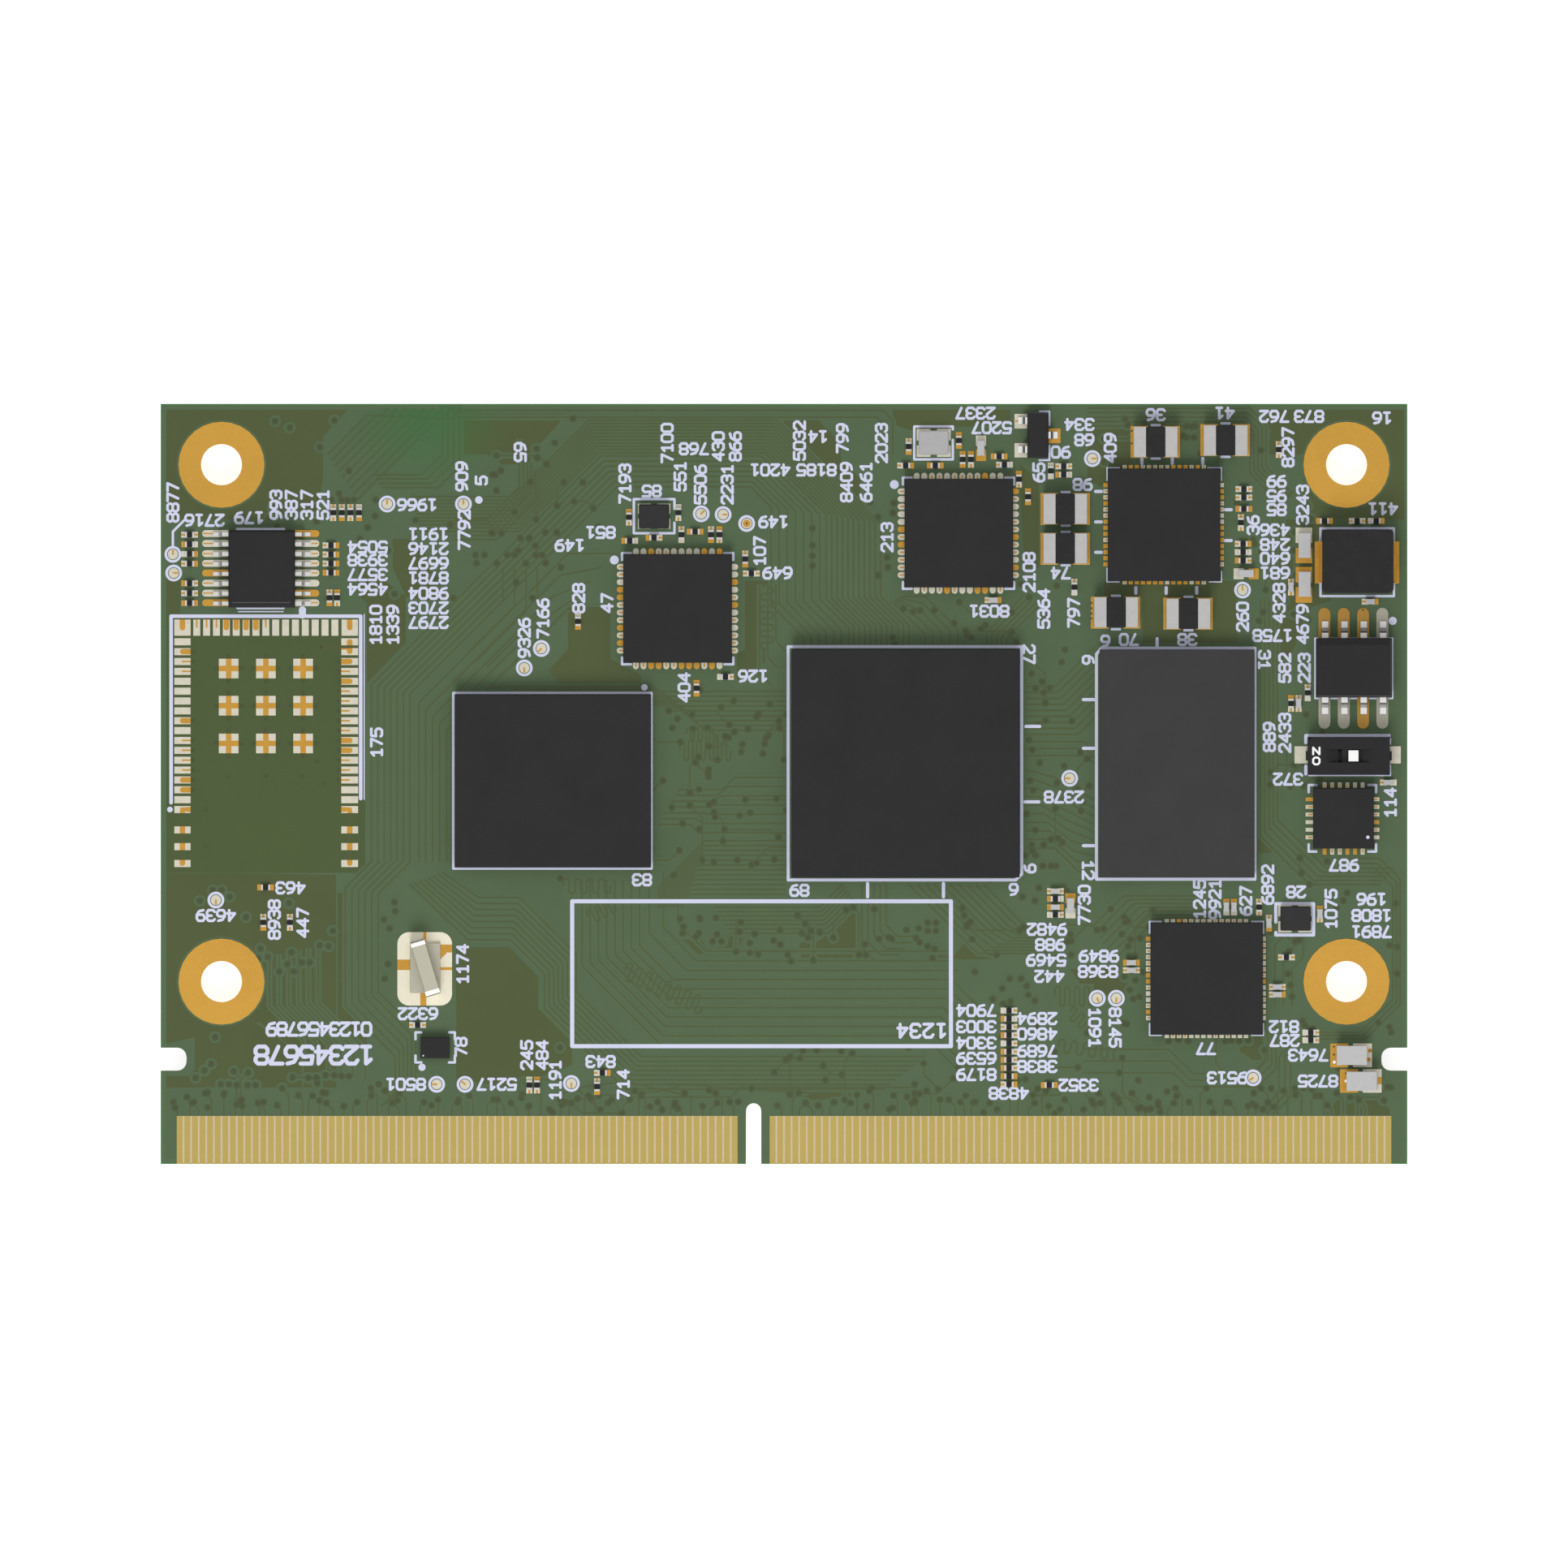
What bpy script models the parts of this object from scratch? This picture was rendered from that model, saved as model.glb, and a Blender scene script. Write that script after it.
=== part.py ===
# System on module: a circuit board with a 314-contact edge, its chips, inductors, crystals and
# capacitors, and a one-way slide switch whose slider moves.
# Metres, +Z up. +X runs along the contact edge, +Y away from it and +Z out of the component side.
# The origin lies under the board's centre, in the plane that the lowest underside parts touch.

import math

import bmesh
import bpy
from mathutils import Matrix, Vector

# Board
BOARD_LENGTH = 0.0820
BOARD_WIDTH = 0.0500
BOARD_THICKNESS = 0.0012
COPPER_THICKNESS = 0.000035

# Screw holes and the plated rings round them
HOLE_DIAMETER = 0.0027
RING_DIAMETER = 0.00566
HOLE_FROM_SIDE = 0.0040
HOLE_FROM_TOP_EDGE = 0.0040
HOLE_FROM_CONTACT_EDGE = 0.0120

# Key slot in the contact edge, and the round-cornered notches in the two sides
KEY_FROM_LEFT = 0.0390
KEY_WIDTH = 0.0010
KEY_DEPTH = 0.0040
NOTCH_FROM_CONTACT_EDGE = 0.0069
NOTCH_WIDTH = 0.0015
NOTCH_DEPTH = 0.0017
NOTCH_RADIUS = 0.0006
# The most of a notch's width that the rounding of one corner may take
NOTCH_ROUNDING_LIMIT = 0.49

# Contact fingers: the margins run from the key's middle, and from the board's side, to the next
# finger's middle, and the fingers between them fill the edge at their pitch
FINGER_PITCH = 0.0005
FINGER_GAP = 0.00011
FINGER_LENGTH = 0.00315
TOP_FINGER_MARGIN = 0.00125
UNDERSIDE_FINGER_MARGIN = 0.0010

# Smallest resistors and capacitors, soldered straight to the board, and the capacitors below it
CHIP_LENGTH = 0.0006
CHIP_WIDTH = 0.0003
CHIP_RESISTOR_HEIGHT = 0.00023
CHIP_CAPACITOR_HEIGHT = 0.0003
UNDERSIDE_CAPACITOR_LENGTH = 0.0010
UNDERSIDE_CAPACITOR_WIDTH = 0.0005
UNDERSIDE_CAPACITOR_HEIGHT = 0.0005

# The least gap between neighbours on the board that can come close, when a size changes
CHIP_CLEARANCE = 0.0001

# Gaps between the board and what is soldered on it
SOLDER_GAP = 0.00003
BALL_STANDOFF = 0.00028
LEAD_STANDOFF = 0.00010

# Ball-grid packages
PROCESSOR_SIDE = 0.0150
PROCESSOR_HEIGHT = 0.0010
MEMORY_LENGTH = 0.0150
MEMORY_WIDTH = 0.0102
MEMORY_HEIGHT = 0.0008
STORAGE_LENGTH = 0.0129
STORAGE_WIDTH = 0.0114
STORAGE_HEIGHT = 0.0008
PACKAGE_EDGE = 0.00005

# No-lead packages
CONTROLLER_SIDE = 0.0074
HUB_SIDE = 0.0074
TRANSCEIVER_SIDE = 0.00715
EXPANDER_SIDE = 0.0040
CLOCK_LENGTH = 0.0019
CLOCK_WIDTH = 0.0014
NO_LEAD_HEIGHT = 0.00085
CLOCK_HEIGHT = 0.0006

# Packages with gull-wing leads
SHIFTER_LENGTH = 0.0051
SHIFTER_WIDTH = 0.0044
SHIFTER_HEIGHT = 0.0010
SHIFTER_LEAD_PITCH = 0.00065
SHIFTER_LEAD_WIDTH = 0.00025
SHIFTER_LEAD_REACH = 0.0010
BOOT_FLASH_LENGTH = 0.0050
BOOT_FLASH_WIDTH = 0.0039
BOOT_FLASH_HEIGHT = 0.0015
BOOT_FLASH_LEAD_PITCH = 0.00127
BOOT_FLASH_LEAD_WIDTH = 0.00042
BOOT_FLASH_LEAD_REACH = 0.0011
DIODE_LENGTH = 0.0030
DIODE_WIDTH = 0.0014
DIODE_HEIGHT = 0.0010
DIODE_LEAD_PITCH = 0.0019
DIODE_LEAD_WIDTH = 0.00045
DIODE_LEAD_REACH = 0.0006
LEAD_THICKNESS = 0.00015
# Shares of a lead's reach at which it turns down and at which it meets its pad
LEAD_SHOULDER = 0.25
LEAD_HEEL = 0.45
MOULD_DRAFT = 0.00012
MOULD_BAND = 0.00016

# Crystals
CRYSTAL_LENGTH = 0.0020
CRYSTAL_WIDTH = 0.0016
CRYSTAL_HEIGHT = 0.0005
CRYSTAL_LID_HEIGHT = 0.0001
CRYSTAL_LID_MARGIN = 0.00012

# Chip inductors and capacitors with metal ends
INDUCTOR_LENGTH = 0.0029
INDUCTOR_WIDTH = 0.0020
INDUCTOR_HEIGHT = 0.0011
INDUCTOR_END = 0.00083
BULK_LENGTH = 0.0020
BULK_WIDTH = 0.00128
BULK_HEIGHT = 0.0012
BULK_END = 0.0004
OUTPUT_LENGTH = 0.00165
OUTPUT_WIDTH = 0.00083
OUTPUT_HEIGHT = 0.0008
OUTPUT_END = 0.0003
FILTER_LENGTH = 0.0010
FILTER_WIDTH = 0.0005
FILTER_HEIGHT = 0.0005
FILTER_END = 0.0002
END_STEP = 0.000015

# Input inductor: a moulded block with a metal clip round each end
BLOCK_LENGTH = 0.0047
BLOCK_WIDTH = 0.0042
BLOCK_HEIGHT = 0.0020
BLOCK_CORNER = 0.0003
CLIP_WIDTH = 0.0026
CLIP_THICKNESS = 0.0002
# How far a clip stands into the block, and as far out of it on its other face
CLIP_BITE = 0.00001
CLIP_HEIGHT = 0.0011
CLIP_FOOT = 0.0009

# Ground test loop: a plate with a strip folded slantwise over it
LOOP_PLATE_LENGTH = 0.0033
LOOP_PLATE_WIDTH = 0.0020
LOOP_PLATE_THICKNESS = 0.0002
LOOP_STRIP_LENGTH = 0.0034
LOOP_STRIP_WIDTH = 0.00096
LOOP_STRIP_THICKNESS = 0.00015
LOOP_HEIGHT = 0.0015
LOOP_BEND = 0.00035
LOOP_SLANT_DEG = 16.8

# Slide switch: base, cover, slider and terminals
SWITCH_LENGTH = 0.0054
SWITCH_WIDTH = 0.0025
SWITCH_BASE_HEIGHT = 0.0005
SWITCH_COVER_HEIGHT = 0.0009
SWITCH_CORNER_CUT = 0.0003
SWITCH_RECESS_LENGTH = 0.00296
SWITCH_RECESS_DEPTH = 0.0003
KNOB_LENGTH = 0.00065
KNOB_WIDTH = 0.00072
KNOB_DROP = 0.00005
SLIDE_TRAVEL = 0.00062
RUNNING_GAP = 0.000045
KNOB_SIDE_GAP = 0.00008
SLIDER_FOOT_LENGTH = 0.0015
SLIDER_FOOT_WIDTH = 0.0013
SLIDER_FOOT_HEIGHT = 0.00036
CONTACT_LENGTH = 0.0011
CONTACT_WIDTH = 0.0005
CONTACT_RISE = 0.00012
CONTACT_THICKNESS = 0.00006
TERMINAL_WIDTH = 0.0006
TERMINAL_THICKNESS = 0.00010
TERMINAL_INNER_GAP = 0.0005
SEAM_GAP = 0.00003

# How deep a lead, finger or chip is sunk where it is fused into its carrier
SINK = 0.0001

# How far a cutter starts outside the face that it cuts into
CUT_START = 0.0001

# Sides of a round hole or ring, and of the half circle that closes the key slot
CIRCLE_SIDES = 28
HALF_CIRCLE_SIDES = 8

# Heights that follow from the sizes above
BOARD_UNDERSIDE = UNDERSIDE_CAPACITOR_HEIGHT
BOARD_TOP = BOARD_UNDERSIDE + BOARD_THICKNESS
CONTACT_EDGE = -BOARD_WIDTH / 2
FINGER_WIDTH = FINGER_PITCH - FINGER_GAP

# Places are counted from the board's centre in steps of a placement grid, this many steps along
# and across the board. On the standard outline a step is 0.05 mm.
PLACEMENT_GRID = (1640, 1000)

# Rows of the smallest parts on the component side: first column and row, how many, and the step
# from one to the next. Those in the first table lie along X, those in the second along Y.
RESISTORS_ALONG = [
    (-782, 328, 4, 0, -12.7), (-782, 264, 3, 0, -13), (-596, 314, 4, 0, -12),
    (-203, 320, 1, 0, 0), (-171, 324, 1, 0, 0), (-117, 332, 1, 0, 0), (-43, 277, 1, 0, 0),
    (-77, 141, 1, 0, 0), (160, 419, 2, 39, 0), (283, 431, 2, 7, -11), (368, 418, 2, 0, -11),
    (605, 388, 2, 0, -11), (605, 362, 1, 0, 0), (604, 316, 3, 0, -11), (711, 346, 1, 0, 0),
    (754, 346, 2, 25, 0), (-682, -136, 1, 0, 0), (-482, -317, 1, 0, 0), (-239, -380, 1, 0, 0),
    (357, -151, 2, 0, -21), (661, -228, 1, 0, 0), (693, -327, 2, 0, -10), (349, -396, 1, 0, 0),
    (296, -298, 10, 0, -10.8),
]
RESISTORS_ACROSS = [
    (-593, 357, 4, 11.3, 0), (-598, 245, 2, 10, 0), (-271, 214, 1, 0, 0), (-204, 351, 1, 0, 0),
    (-139, 357, 1, 0, 0), (-135, 328, 1, 0, 0), (-96, 328, 2, 11, 0), (-51, 296, 1, 0, 0),
    (-115, 126, 1, 0, 0), (164, 444, 1, 0, 0), (230, 452, 1, 0, 0), (235, 427, 2, 11, 0),
    (309, 401, 1, 0, 0), (321, 378, 1, 0, 0), (351, 412, 1, 0, 0), (382, 259, 1, 0, 0),
    (651, 440, 1, 0, 0), (601, 344, 1, 0, 0), (667, 106, 1, 0, 0), (689, 120, 1, 0, 0),
    (625, -162, 1, 0, 0), (-685, -182, 2, 35, 0), (-335, -396, 2, 10, 0), (-246, -398, 1, 0, 0),
]
CAPACITORS_ALONG = [
    (275, 242, 1, 0, 0), (771, 240, 1, 0, 0), (795, 2, 1, 0, 0), (357, -141, 2, 0, -21),
    (457, -235, 2, 0, -10), (649, -267, 2, 0, -10),
]
CAPACITORS_ACROSS = [
    (667, 259, 1, 0, 0), (677, 106, 1, 0, 0), (582, -162, 2, 10, 0), (638, -183, 1, 0, 0),
    (705, -171, 1, 0, 0),
]

# Blocks of underside capacitors: middle column and row, columns and rows of them, and the steps
UNDERSIDE_BLOCKS = [
    (160, 27, 4, 4, 52, 52), (517, 27, 2, 3, 100, 90), (-304, 4, 2, 2, 110, 110),
    (500, 341, 2, 2, 90, 90), (-140, 231, 2, 1, 70, 0), (230, 330, 2, 1, 70, 0),
    (556, -256, 2, 1, 70, 0),
]

# Where each package's middle stands on the grid
PROCESSOR_SPOT = (160, 27)
MEMORY_SPOT = (517, 27)
STORAGE_SPOT = (-304, 4)
CONTROLLER_SPOT = (500, 341)
HUB_SPOT = (556, -256)
LEFT_TRANSCEIVER_SPOT = (-140, 231)
RIGHT_TRANSCEIVER_SPOT = (230, 330)
EXPANDER_SPOT = (736, -45)
CLOCK_SPOT = (-459, -347)
SHIFTER_SPOT = (-687, 283)
BOOT_FLASH_SPOT = (750, 153)
DIODE_SPOT = (334, 459)
CRYSTAL_SPOTS = [(-171, 352), (197, 449), (673, -177)]
INDUCTOR_SPOTS = [(437, 226), (370, 310), (370, 362), (489, 450), (581, 452), (532, 224)]
INPUT_INDUCTOR_SPOT = (755, 293)
BULK_SPOTS = [(747, -357), (760, -391)]
OUTPUT_SPOTS = [(685, 314), (685, 263)]
FILTER_SPOTS = [(259, 442, 90), (608, 277, 0), (377, -160, 90)]
TEST_LOOP_SPOT = (-472, -242)
SWITCH_SPOT = (743, 37)

UP = Vector((0, 0, 1))
DOWN = -UP
LEFT = Vector((-1, 0, 0))
RIGHT = -LEFT


def clear_scene():
    for thing in list(bpy.data.objects):
        bpy.data.objects.remove(thing, do_unlink=True)


def new_collection(name):
    made = bpy.data.collections.new(name)
    bpy.context.scene.collection.children.link(made)
    return made


def new_material(name, colour, roughness, metallic=0.0):
    made = bpy.data.materials.new(name)
    made.use_nodes = True
    shader = made.node_tree.nodes["Principled BSDF"]
    shader.inputs["Base Color"].default_value = (*colour, 1.0)
    shader.inputs["Roughness"].default_value = roughness
    shader.inputs["Metallic"].default_value = metallic
    return made


def grid_spot(spot, height=0.0):
    """The place of a grid spot, (column, row), at a height."""
    columns, rows = PLACEMENT_GRID
    return Vector((spot[0] * BOARD_LENGTH / columns, spot[1] * BOARD_WIDTH / rows, height))


def add_box(bm, size, middle):
    """Adds a box of the given size round its middle."""
    place = Matrix.Translation(middle) @ Matrix.Diagonal((*size, 1.0))
    bmesh.ops.create_cube(bm, size=1.0, matrix=place)


def add_standing_box(bm, length, width, height, foot=(0.0, 0.0, 0.0)):
    """Adds a box that stands on the point foot."""
    add_box(bm, (length, width, height), Vector(foot) + UP * height / 2)


def add_cylinder(bm, diameter, height, foot):
    bmesh.ops.create_cone(
        bm,
        cap_ends=True,
        segments=CIRCLE_SIDES,
        radius1=diameter / 2,
        radius2=diameter / 2,
        depth=height,
        matrix=Matrix.Translation(Vector(foot) + UP * height / 2),
    )


def add_prism(bm, outline, direction, reach):
    """Adds the flat outline, extruded by reach along direction."""
    face = bm.faces.new([bm.verts.new(point) for point in outline])
    extruded = bmesh.ops.extrude_face_region(bm, geom=[face])["geom"]
    moved = [item for item in extruded if isinstance(item, bmesh.types.BMVert)]
    bmesh.ops.translate(bm, verts=moved, vec=direction * reach)
    bmesh.ops.recalc_face_normals(bm, faces=bm.faces)


def extend(bm, direction, reach, widen=0.0):
    """Extrudes the outermost face that looks along direction by reach, and widens it all round.

    A negative widen gives a draft or, with no reach, the rim of a smaller step.
    """
    bm.normal_update()
    facing = [face for face in bm.faces if face.normal.dot(direction) > 0.99]
    outermost = max(facing, key=lambda face: face.calc_center_median().dot(direction))
    face = bmesh.ops.extrude_discrete_faces(bm, faces=[outermost])["faces"][0]
    middle = face.calc_center_median()
    for vertex in face.verts:
        offset = vertex.co - middle
        for axis in range(3):
            if abs(direction[axis]) < 0.5:
                vertex.co[axis] += widen * math.copysign(1, offset[axis])
        vertex.co += direction * reach


def add_strip(bm, path, thickness, width, turn=0.0):
    """Adds a bent strip: path is its middle line as (along, height) points, turn its heading."""
    upper, lower = [], []
    for number, point in enumerate(path):
        here = Vector(point)
        before = (here - Vector(path[number - 1])).normalized() if number else None
        after = (Vector(path[number + 1]) - here).normalized() if number + 1 < len(path) else None
        before, after = before or after, after or before
        mitre = (before + after).normalized()
        side = Vector((-mitre.y, mitre.x)) * thickness / 2 / mitre.dot(after)
        upper.append(here + side)
        lower.append(here - side)
    heading = Matrix.Rotation(turn, 3, "Z")
    start = Vector((0, -width / 2, 0))
    outline = [heading @ (Vector((p.x, 0, p.y)) + start) for p in upper + lower[::-1]]
    add_prism(bm, outline, heading @ Vector((0, 1, 0)), width)


def new_object(name, bm, material, collection, parent=None, spot=(0, 0), height=0.0, turn=0.0):
    """Turns bm into an object that stands at a grid spot, turned in degrees about +Z."""
    mesh = bpy.data.meshes.new(name)
    bmesh.ops.recalc_face_normals(bm, faces=bm.faces)
    bm.to_mesh(mesh)
    bm.free()
    if material:
        mesh.materials.append(material)
    made = bpy.data.objects.new(name, mesh)
    made.parent = parent
    made.location = grid_spot(spot, height)
    made.rotation_euler.z = math.radians(turn)
    collection.objects.link(made)
    return made


def new_helper(name, bm, collection, parent=None):
    """Turns bm into a hidden object that a Boolean uses."""
    made = new_object(name, bm, None, collection, parent)
    made.hide_render = True
    made.display_type = "WIRE"
    return made


def new_empty(name, collection, parent=None):
    made = bpy.data.objects.new(name, None)
    made.parent = parent
    collection.objects.link(made)
    return made


def combine(target, operation, helper, overlapping=False):
    """Adds a Boolean. overlapping says that the helper's own solids may run into one another."""
    modifier = target.modifiers.new(helper.name, "BOOLEAN")
    modifier.operation = operation
    modifier.solver = "EXACT"
    modifier.use_self = overlapping
    modifier.object = helper


def finger_middles(margin):
    """The places along X of the fingers on both sides of the key."""
    left_edge, right_edge = -BOARD_LENGTH / 2, BOARD_LENGTH / 2
    key = left_edge + KEY_FROM_LEFT
    middles = []
    for outward, edge in ((-1, left_edge), (1, right_edge)):
        room = abs(edge - key) - 2 * margin
        count = int(room / FINGER_PITCH + 1.001)
        middles += [key + outward * (margin + FINGER_PITCH * number) for number in range(count)]
    return middles


def hole_middles():
    across = BOARD_LENGTH / 2 - HOLE_FROM_SIDE
    rows = (BOARD_WIDTH / 2 - HOLE_FROM_TOP_EDGE, CONTACT_EDGE + HOLE_FROM_CONTACT_EDGE)
    return [(x, y) for x in (-across, across) for y in rows]


def add_small_parts(bm, rows, length, width, height):
    """Adds a box for each part in rows, sunk a little into the board's top."""
    for column, row, count, column_step, row_step in rows:
        for number in range(count):
            spot = (column + number * column_step, row + number * row_step)
            foot = grid_spot(spot, BOARD_TOP - SINK)
            add_standing_box(bm, length, width, height + SINK, foot)


def add_underside_parts(bm):
    for column, row, columns, rows, column_step, row_step in UNDERSIDE_BLOCKS:
        for i in range(columns):
            for j in range(rows):
                spot = (
                    column + (i - (columns - 1) / 2) * column_step,
                    row + (j - (rows - 1) / 2) * row_step,
                )
                add_standing_box(
                    bm,
                    UNDERSIDE_CAPACITOR_LENGTH,
                    UNDERSIDE_CAPACITOR_WIDTH,
                    UNDERSIDE_CAPACITOR_HEIGHT + SINK,
                    grid_spot(spot),
                )


def raised_board_details():
    """The fingers, hole rings and smallest parts, which are fused to the board."""
    bm = bmesh.new()
    thickness = COPPER_THICKNESS + SINK
    for margin, foot in (
        (TOP_FINGER_MARGIN, BOARD_TOP - SINK),
        (UNDERSIDE_FINGER_MARGIN, BOARD_UNDERSIDE - COPPER_THICKNESS),
    ):
        for x in finger_middles(margin):
            place = (x, CONTACT_EDGE + FINGER_LENGTH / 2, foot)
            add_standing_box(bm, FINGER_WIDTH, FINGER_LENGTH, thickness, place)
    for x, y in hole_middles():
        add_cylinder(bm, RING_DIAMETER, thickness, (x, y, BOARD_TOP - SINK))
        add_cylinder(bm, RING_DIAMETER, thickness, (x, y, BOARD_UNDERSIDE - COPPER_THICKNESS))
    for rows, height in (
        (RESISTORS_ALONG, CHIP_RESISTOR_HEIGHT),
        (CAPACITORS_ALONG, CHIP_CAPACITOR_HEIGHT),
    ):
        add_small_parts(bm, rows, CHIP_LENGTH, CHIP_WIDTH, height)
    for rows, height in (
        (RESISTORS_ACROSS, CHIP_RESISTOR_HEIGHT),
        (CAPACITORS_ACROSS, CHIP_CAPACITOR_HEIGHT),
    ):
        add_small_parts(bm, rows, CHIP_WIDTH, CHIP_LENGTH, height)
    add_underside_parts(bm)
    return bm


def board_cutouts():
    """The key slot, the two side notches and the four screw holes, as solids to cut away."""
    bm = bmesh.new()
    over = BOARD_THICKNESS
    foot = BOARD_UNDERSIDE - over
    height = BOARD_THICKNESS + 2 * over

    key_x = KEY_FROM_LEFT - BOARD_LENGTH / 2
    key_radius = KEY_WIDTH / 2
    centre_y = CONTACT_EDGE + KEY_DEPTH - key_radius
    arc = [math.pi * step / HALF_CIRCLE_SIDES for step in range(HALF_CIRCLE_SIDES + 1)]
    outline = [(key_x + key_radius * math.cos(a), centre_y + key_radius * math.sin(a)) for a in arc]
    outline += [(key_x - key_radius, CONTACT_EDGE - over), (key_x + key_radius, CONTACT_EDGE - over)]
    add_prism(bm, [(x, y, foot) for x, y in outline], UP, height)

    radius = min(NOTCH_RADIUS, NOTCH_ROUNDING_LIMIT * NOTCH_WIDTH)
    quarter = arc[: HALF_CIRCLE_SIDES // 2 + 1]
    for side in (-1, 1):
        outside = side * (BOARD_LENGTH / 2 + over)
        inside = side * (BOARD_LENGTH / 2 - NOTCH_DEPTH)
        outline = [(outside, NOTCH_WIDTH / 2), (outside, -NOTCH_WIDTH / 2)]
        corner_x = inside + side * radius
        corner_y = NOTCH_WIDTH / 2 - radius
        for angle in quarter:
            outline.append(
                (corner_x - side * radius * math.sin(angle), -corner_y - radius * math.cos(angle))
            )
        for angle in quarter:
            outline.append(
                (corner_x - side * radius * math.cos(angle), corner_y + radius * math.sin(angle))
            )
        middle_y = CONTACT_EDGE + NOTCH_FROM_CONTACT_EDGE
        add_prism(bm, [(x, middle_y + y, foot) for x, y in outline], UP, height)

    for x, y in hole_middles():
        add_cylinder(bm, HOLE_DIAMETER, height, (x, y, foot))
    return bm


def make_board(parts, helpers):
    bm = bmesh.new()
    add_standing_box(bm, BOARD_LENGTH, BOARD_WIDTH, BOARD_THICKNESS, (0, 0, BOARD_UNDERSIDE))
    solder_mask = new_material("board_green", (0.075, 0.13, 0.055), 0.45)
    board = new_object("circuit_board", bm, solder_mask, parts)
    details = new_helper("raised_board_details", raised_board_details(), helpers)
    combine(board, "UNION", details, overlapping=True)
    combine(board, "DIFFERENCE", new_helper("board_cutouts", board_cutouts(), helpers))
    return board


def make_package(name, material, parts, top_side, spot, size, standoff):
    """A square-edged moulded package, length along X, with its top edges just broken."""
    length, width, height = size
    bm = bmesh.new()
    add_standing_box(bm, length, width, height - PACKAGE_EDGE)
    extend(bm, UP, PACKAGE_EDGE, -PACKAGE_EDGE)
    new_object(name, bm, material, parts, top_side, spot, standoff)


def add_moulded_body(bm, length, width, height):
    """A body moulded in two halves, which taper up and down from the band at its lead line."""
    half = (height - LEAD_STANDOFF - MOULD_BAND) / 2
    add_standing_box(bm, length, width, MOULD_BAND, (0, 0, LEAD_STANDOFF + half))
    extend(bm, UP, half, -MOULD_DRAFT)
    extend(bm, DOWN, half, -MOULD_DRAFT)


def gull_wing_path(body_edge, height, reach):
    """From inside the body's edge out, down and along the pad, for a lead that heads along +X."""
    exit_height = LEAD_STANDOFF + (height - LEAD_STANDOFF) / 2
    foot_height = SOLDER_GAP + LEAD_THICKNESS / 2
    return [
        (body_edge - 2 * SINK, exit_height),
        (body_edge + LEAD_SHOULDER * reach, exit_height),
        (body_edge + LEAD_HEEL * reach, foot_height),
        (body_edge + reach, foot_height),
    ]


def lead_offsets(count, pitch):
    return [(number - (count - 1) / 2) * pitch for number in range(count)]


def make_leaded_package(name, material, parts, helpers, top_side, spot, size, lead, sides):
    """A moulded package with its leads fused in.

    size is length, width and height. lead is width, reach. sides lists (heading in degrees,
    distance from the middle to that body edge, offsets of the leads along that edge).
    """
    bm = bmesh.new()
    add_moulded_body(bm, *size)
    body = new_object(name, bm, material, parts, top_side, spot)
    bm = bmesh.new()
    for heading, body_edge, offsets in sides:
        turn = math.radians(heading)
        path = gull_wing_path(body_edge, size[2], lead[1])
        for offset in offsets:
            lead_bm = bmesh.new()
            add_strip(lead_bm, path, LEAD_THICKNESS, lead[0], turn)
            sideways = Matrix.Rotation(turn, 3, "Z") @ Vector((0, offset, 0))
            bmesh.ops.translate(lead_bm, verts=lead_bm.verts, vec=sideways)
            scratch = bpy.data.meshes.new("lead")
            lead_bm.to_mesh(scratch)
            lead_bm.free()
            bm.from_mesh(scratch)
            bpy.data.meshes.remove(scratch)
    combine(body, "UNION", new_helper(name + "_leads", bm, helpers, body))


def make_end_capped_chip(name, material, parts, top_side, spot, size, end, turn=0.0):
    """A chip inductor or capacitor: its metal ends stand a step proud of its middle."""
    length, width, height = size
    bm = bmesh.new()
    middle = (length - 2 * end, width - 2 * END_STEP, height - 2 * END_STEP)
    add_standing_box(bm, *middle, (0, 0, END_STEP))
    for direction in (LEFT, RIGHT):
        extend(bm, direction, 0.0, END_STEP)
        extend(bm, direction, end)
    new_object(name, bm, material, parts, top_side, spot, SOLDER_GAP, turn)


def clear_of(spot, size, other, other_size, axis, way):
    """The spot, moved along an axis where its box would otherwise come too near to the other's.

    axis is 0 along and 1 across the board, and way is 1 or -1.
    """
    steps = (BOARD_LENGTH / PLACEMENT_GRID[0], BOARD_WIDTH / PLACEMENT_GRID[1])
    apart = [(size[i] + other_size[i]) / 2 + CHIP_CLEARANCE for i in (0, 1)]
    beside = 1 - axis
    if abs(spot[beside] - other[beside]) * steps[beside] >= apart[beside]:
        return spot
    moved = list(spot)
    limit = other[axis] + way * apart[axis] / steps[axis]
    moved[axis] = max(spot[axis], limit) if way > 0 else min(spot[axis], limit)
    return moved


def power_spots():
    """The spots of the power controller and of the inductors.

    They stand in rows above the memory, and each row keeps clear of the one below it.
    """
    memory, controller = (MEMORY_WIDTH, MEMORY_LENGTH), (CONTROLLER_SIDE, CONTROLLER_SIDE)
    inductor = (INDUCTOR_LENGTH, INDUCTOR_WIDTH)
    spots = [clear_of(spot, inductor, MEMORY_SPOT, memory, 1, 1) for spot in INDUCTOR_SPOTS]
    middle = CONTROLLER_SPOT
    for spot in spots:
        if spot[1] < CONTROLLER_SPOT[1]:
            middle = clear_of(middle, controller, spot, inductor, 1, 1)
    for number, spot in enumerate(spots):
        if spot[1] > CONTROLLER_SPOT[1]:
            spots[number] = clear_of(spot, inductor, middle, controller, 1, 1)
    return middle, spots


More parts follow.
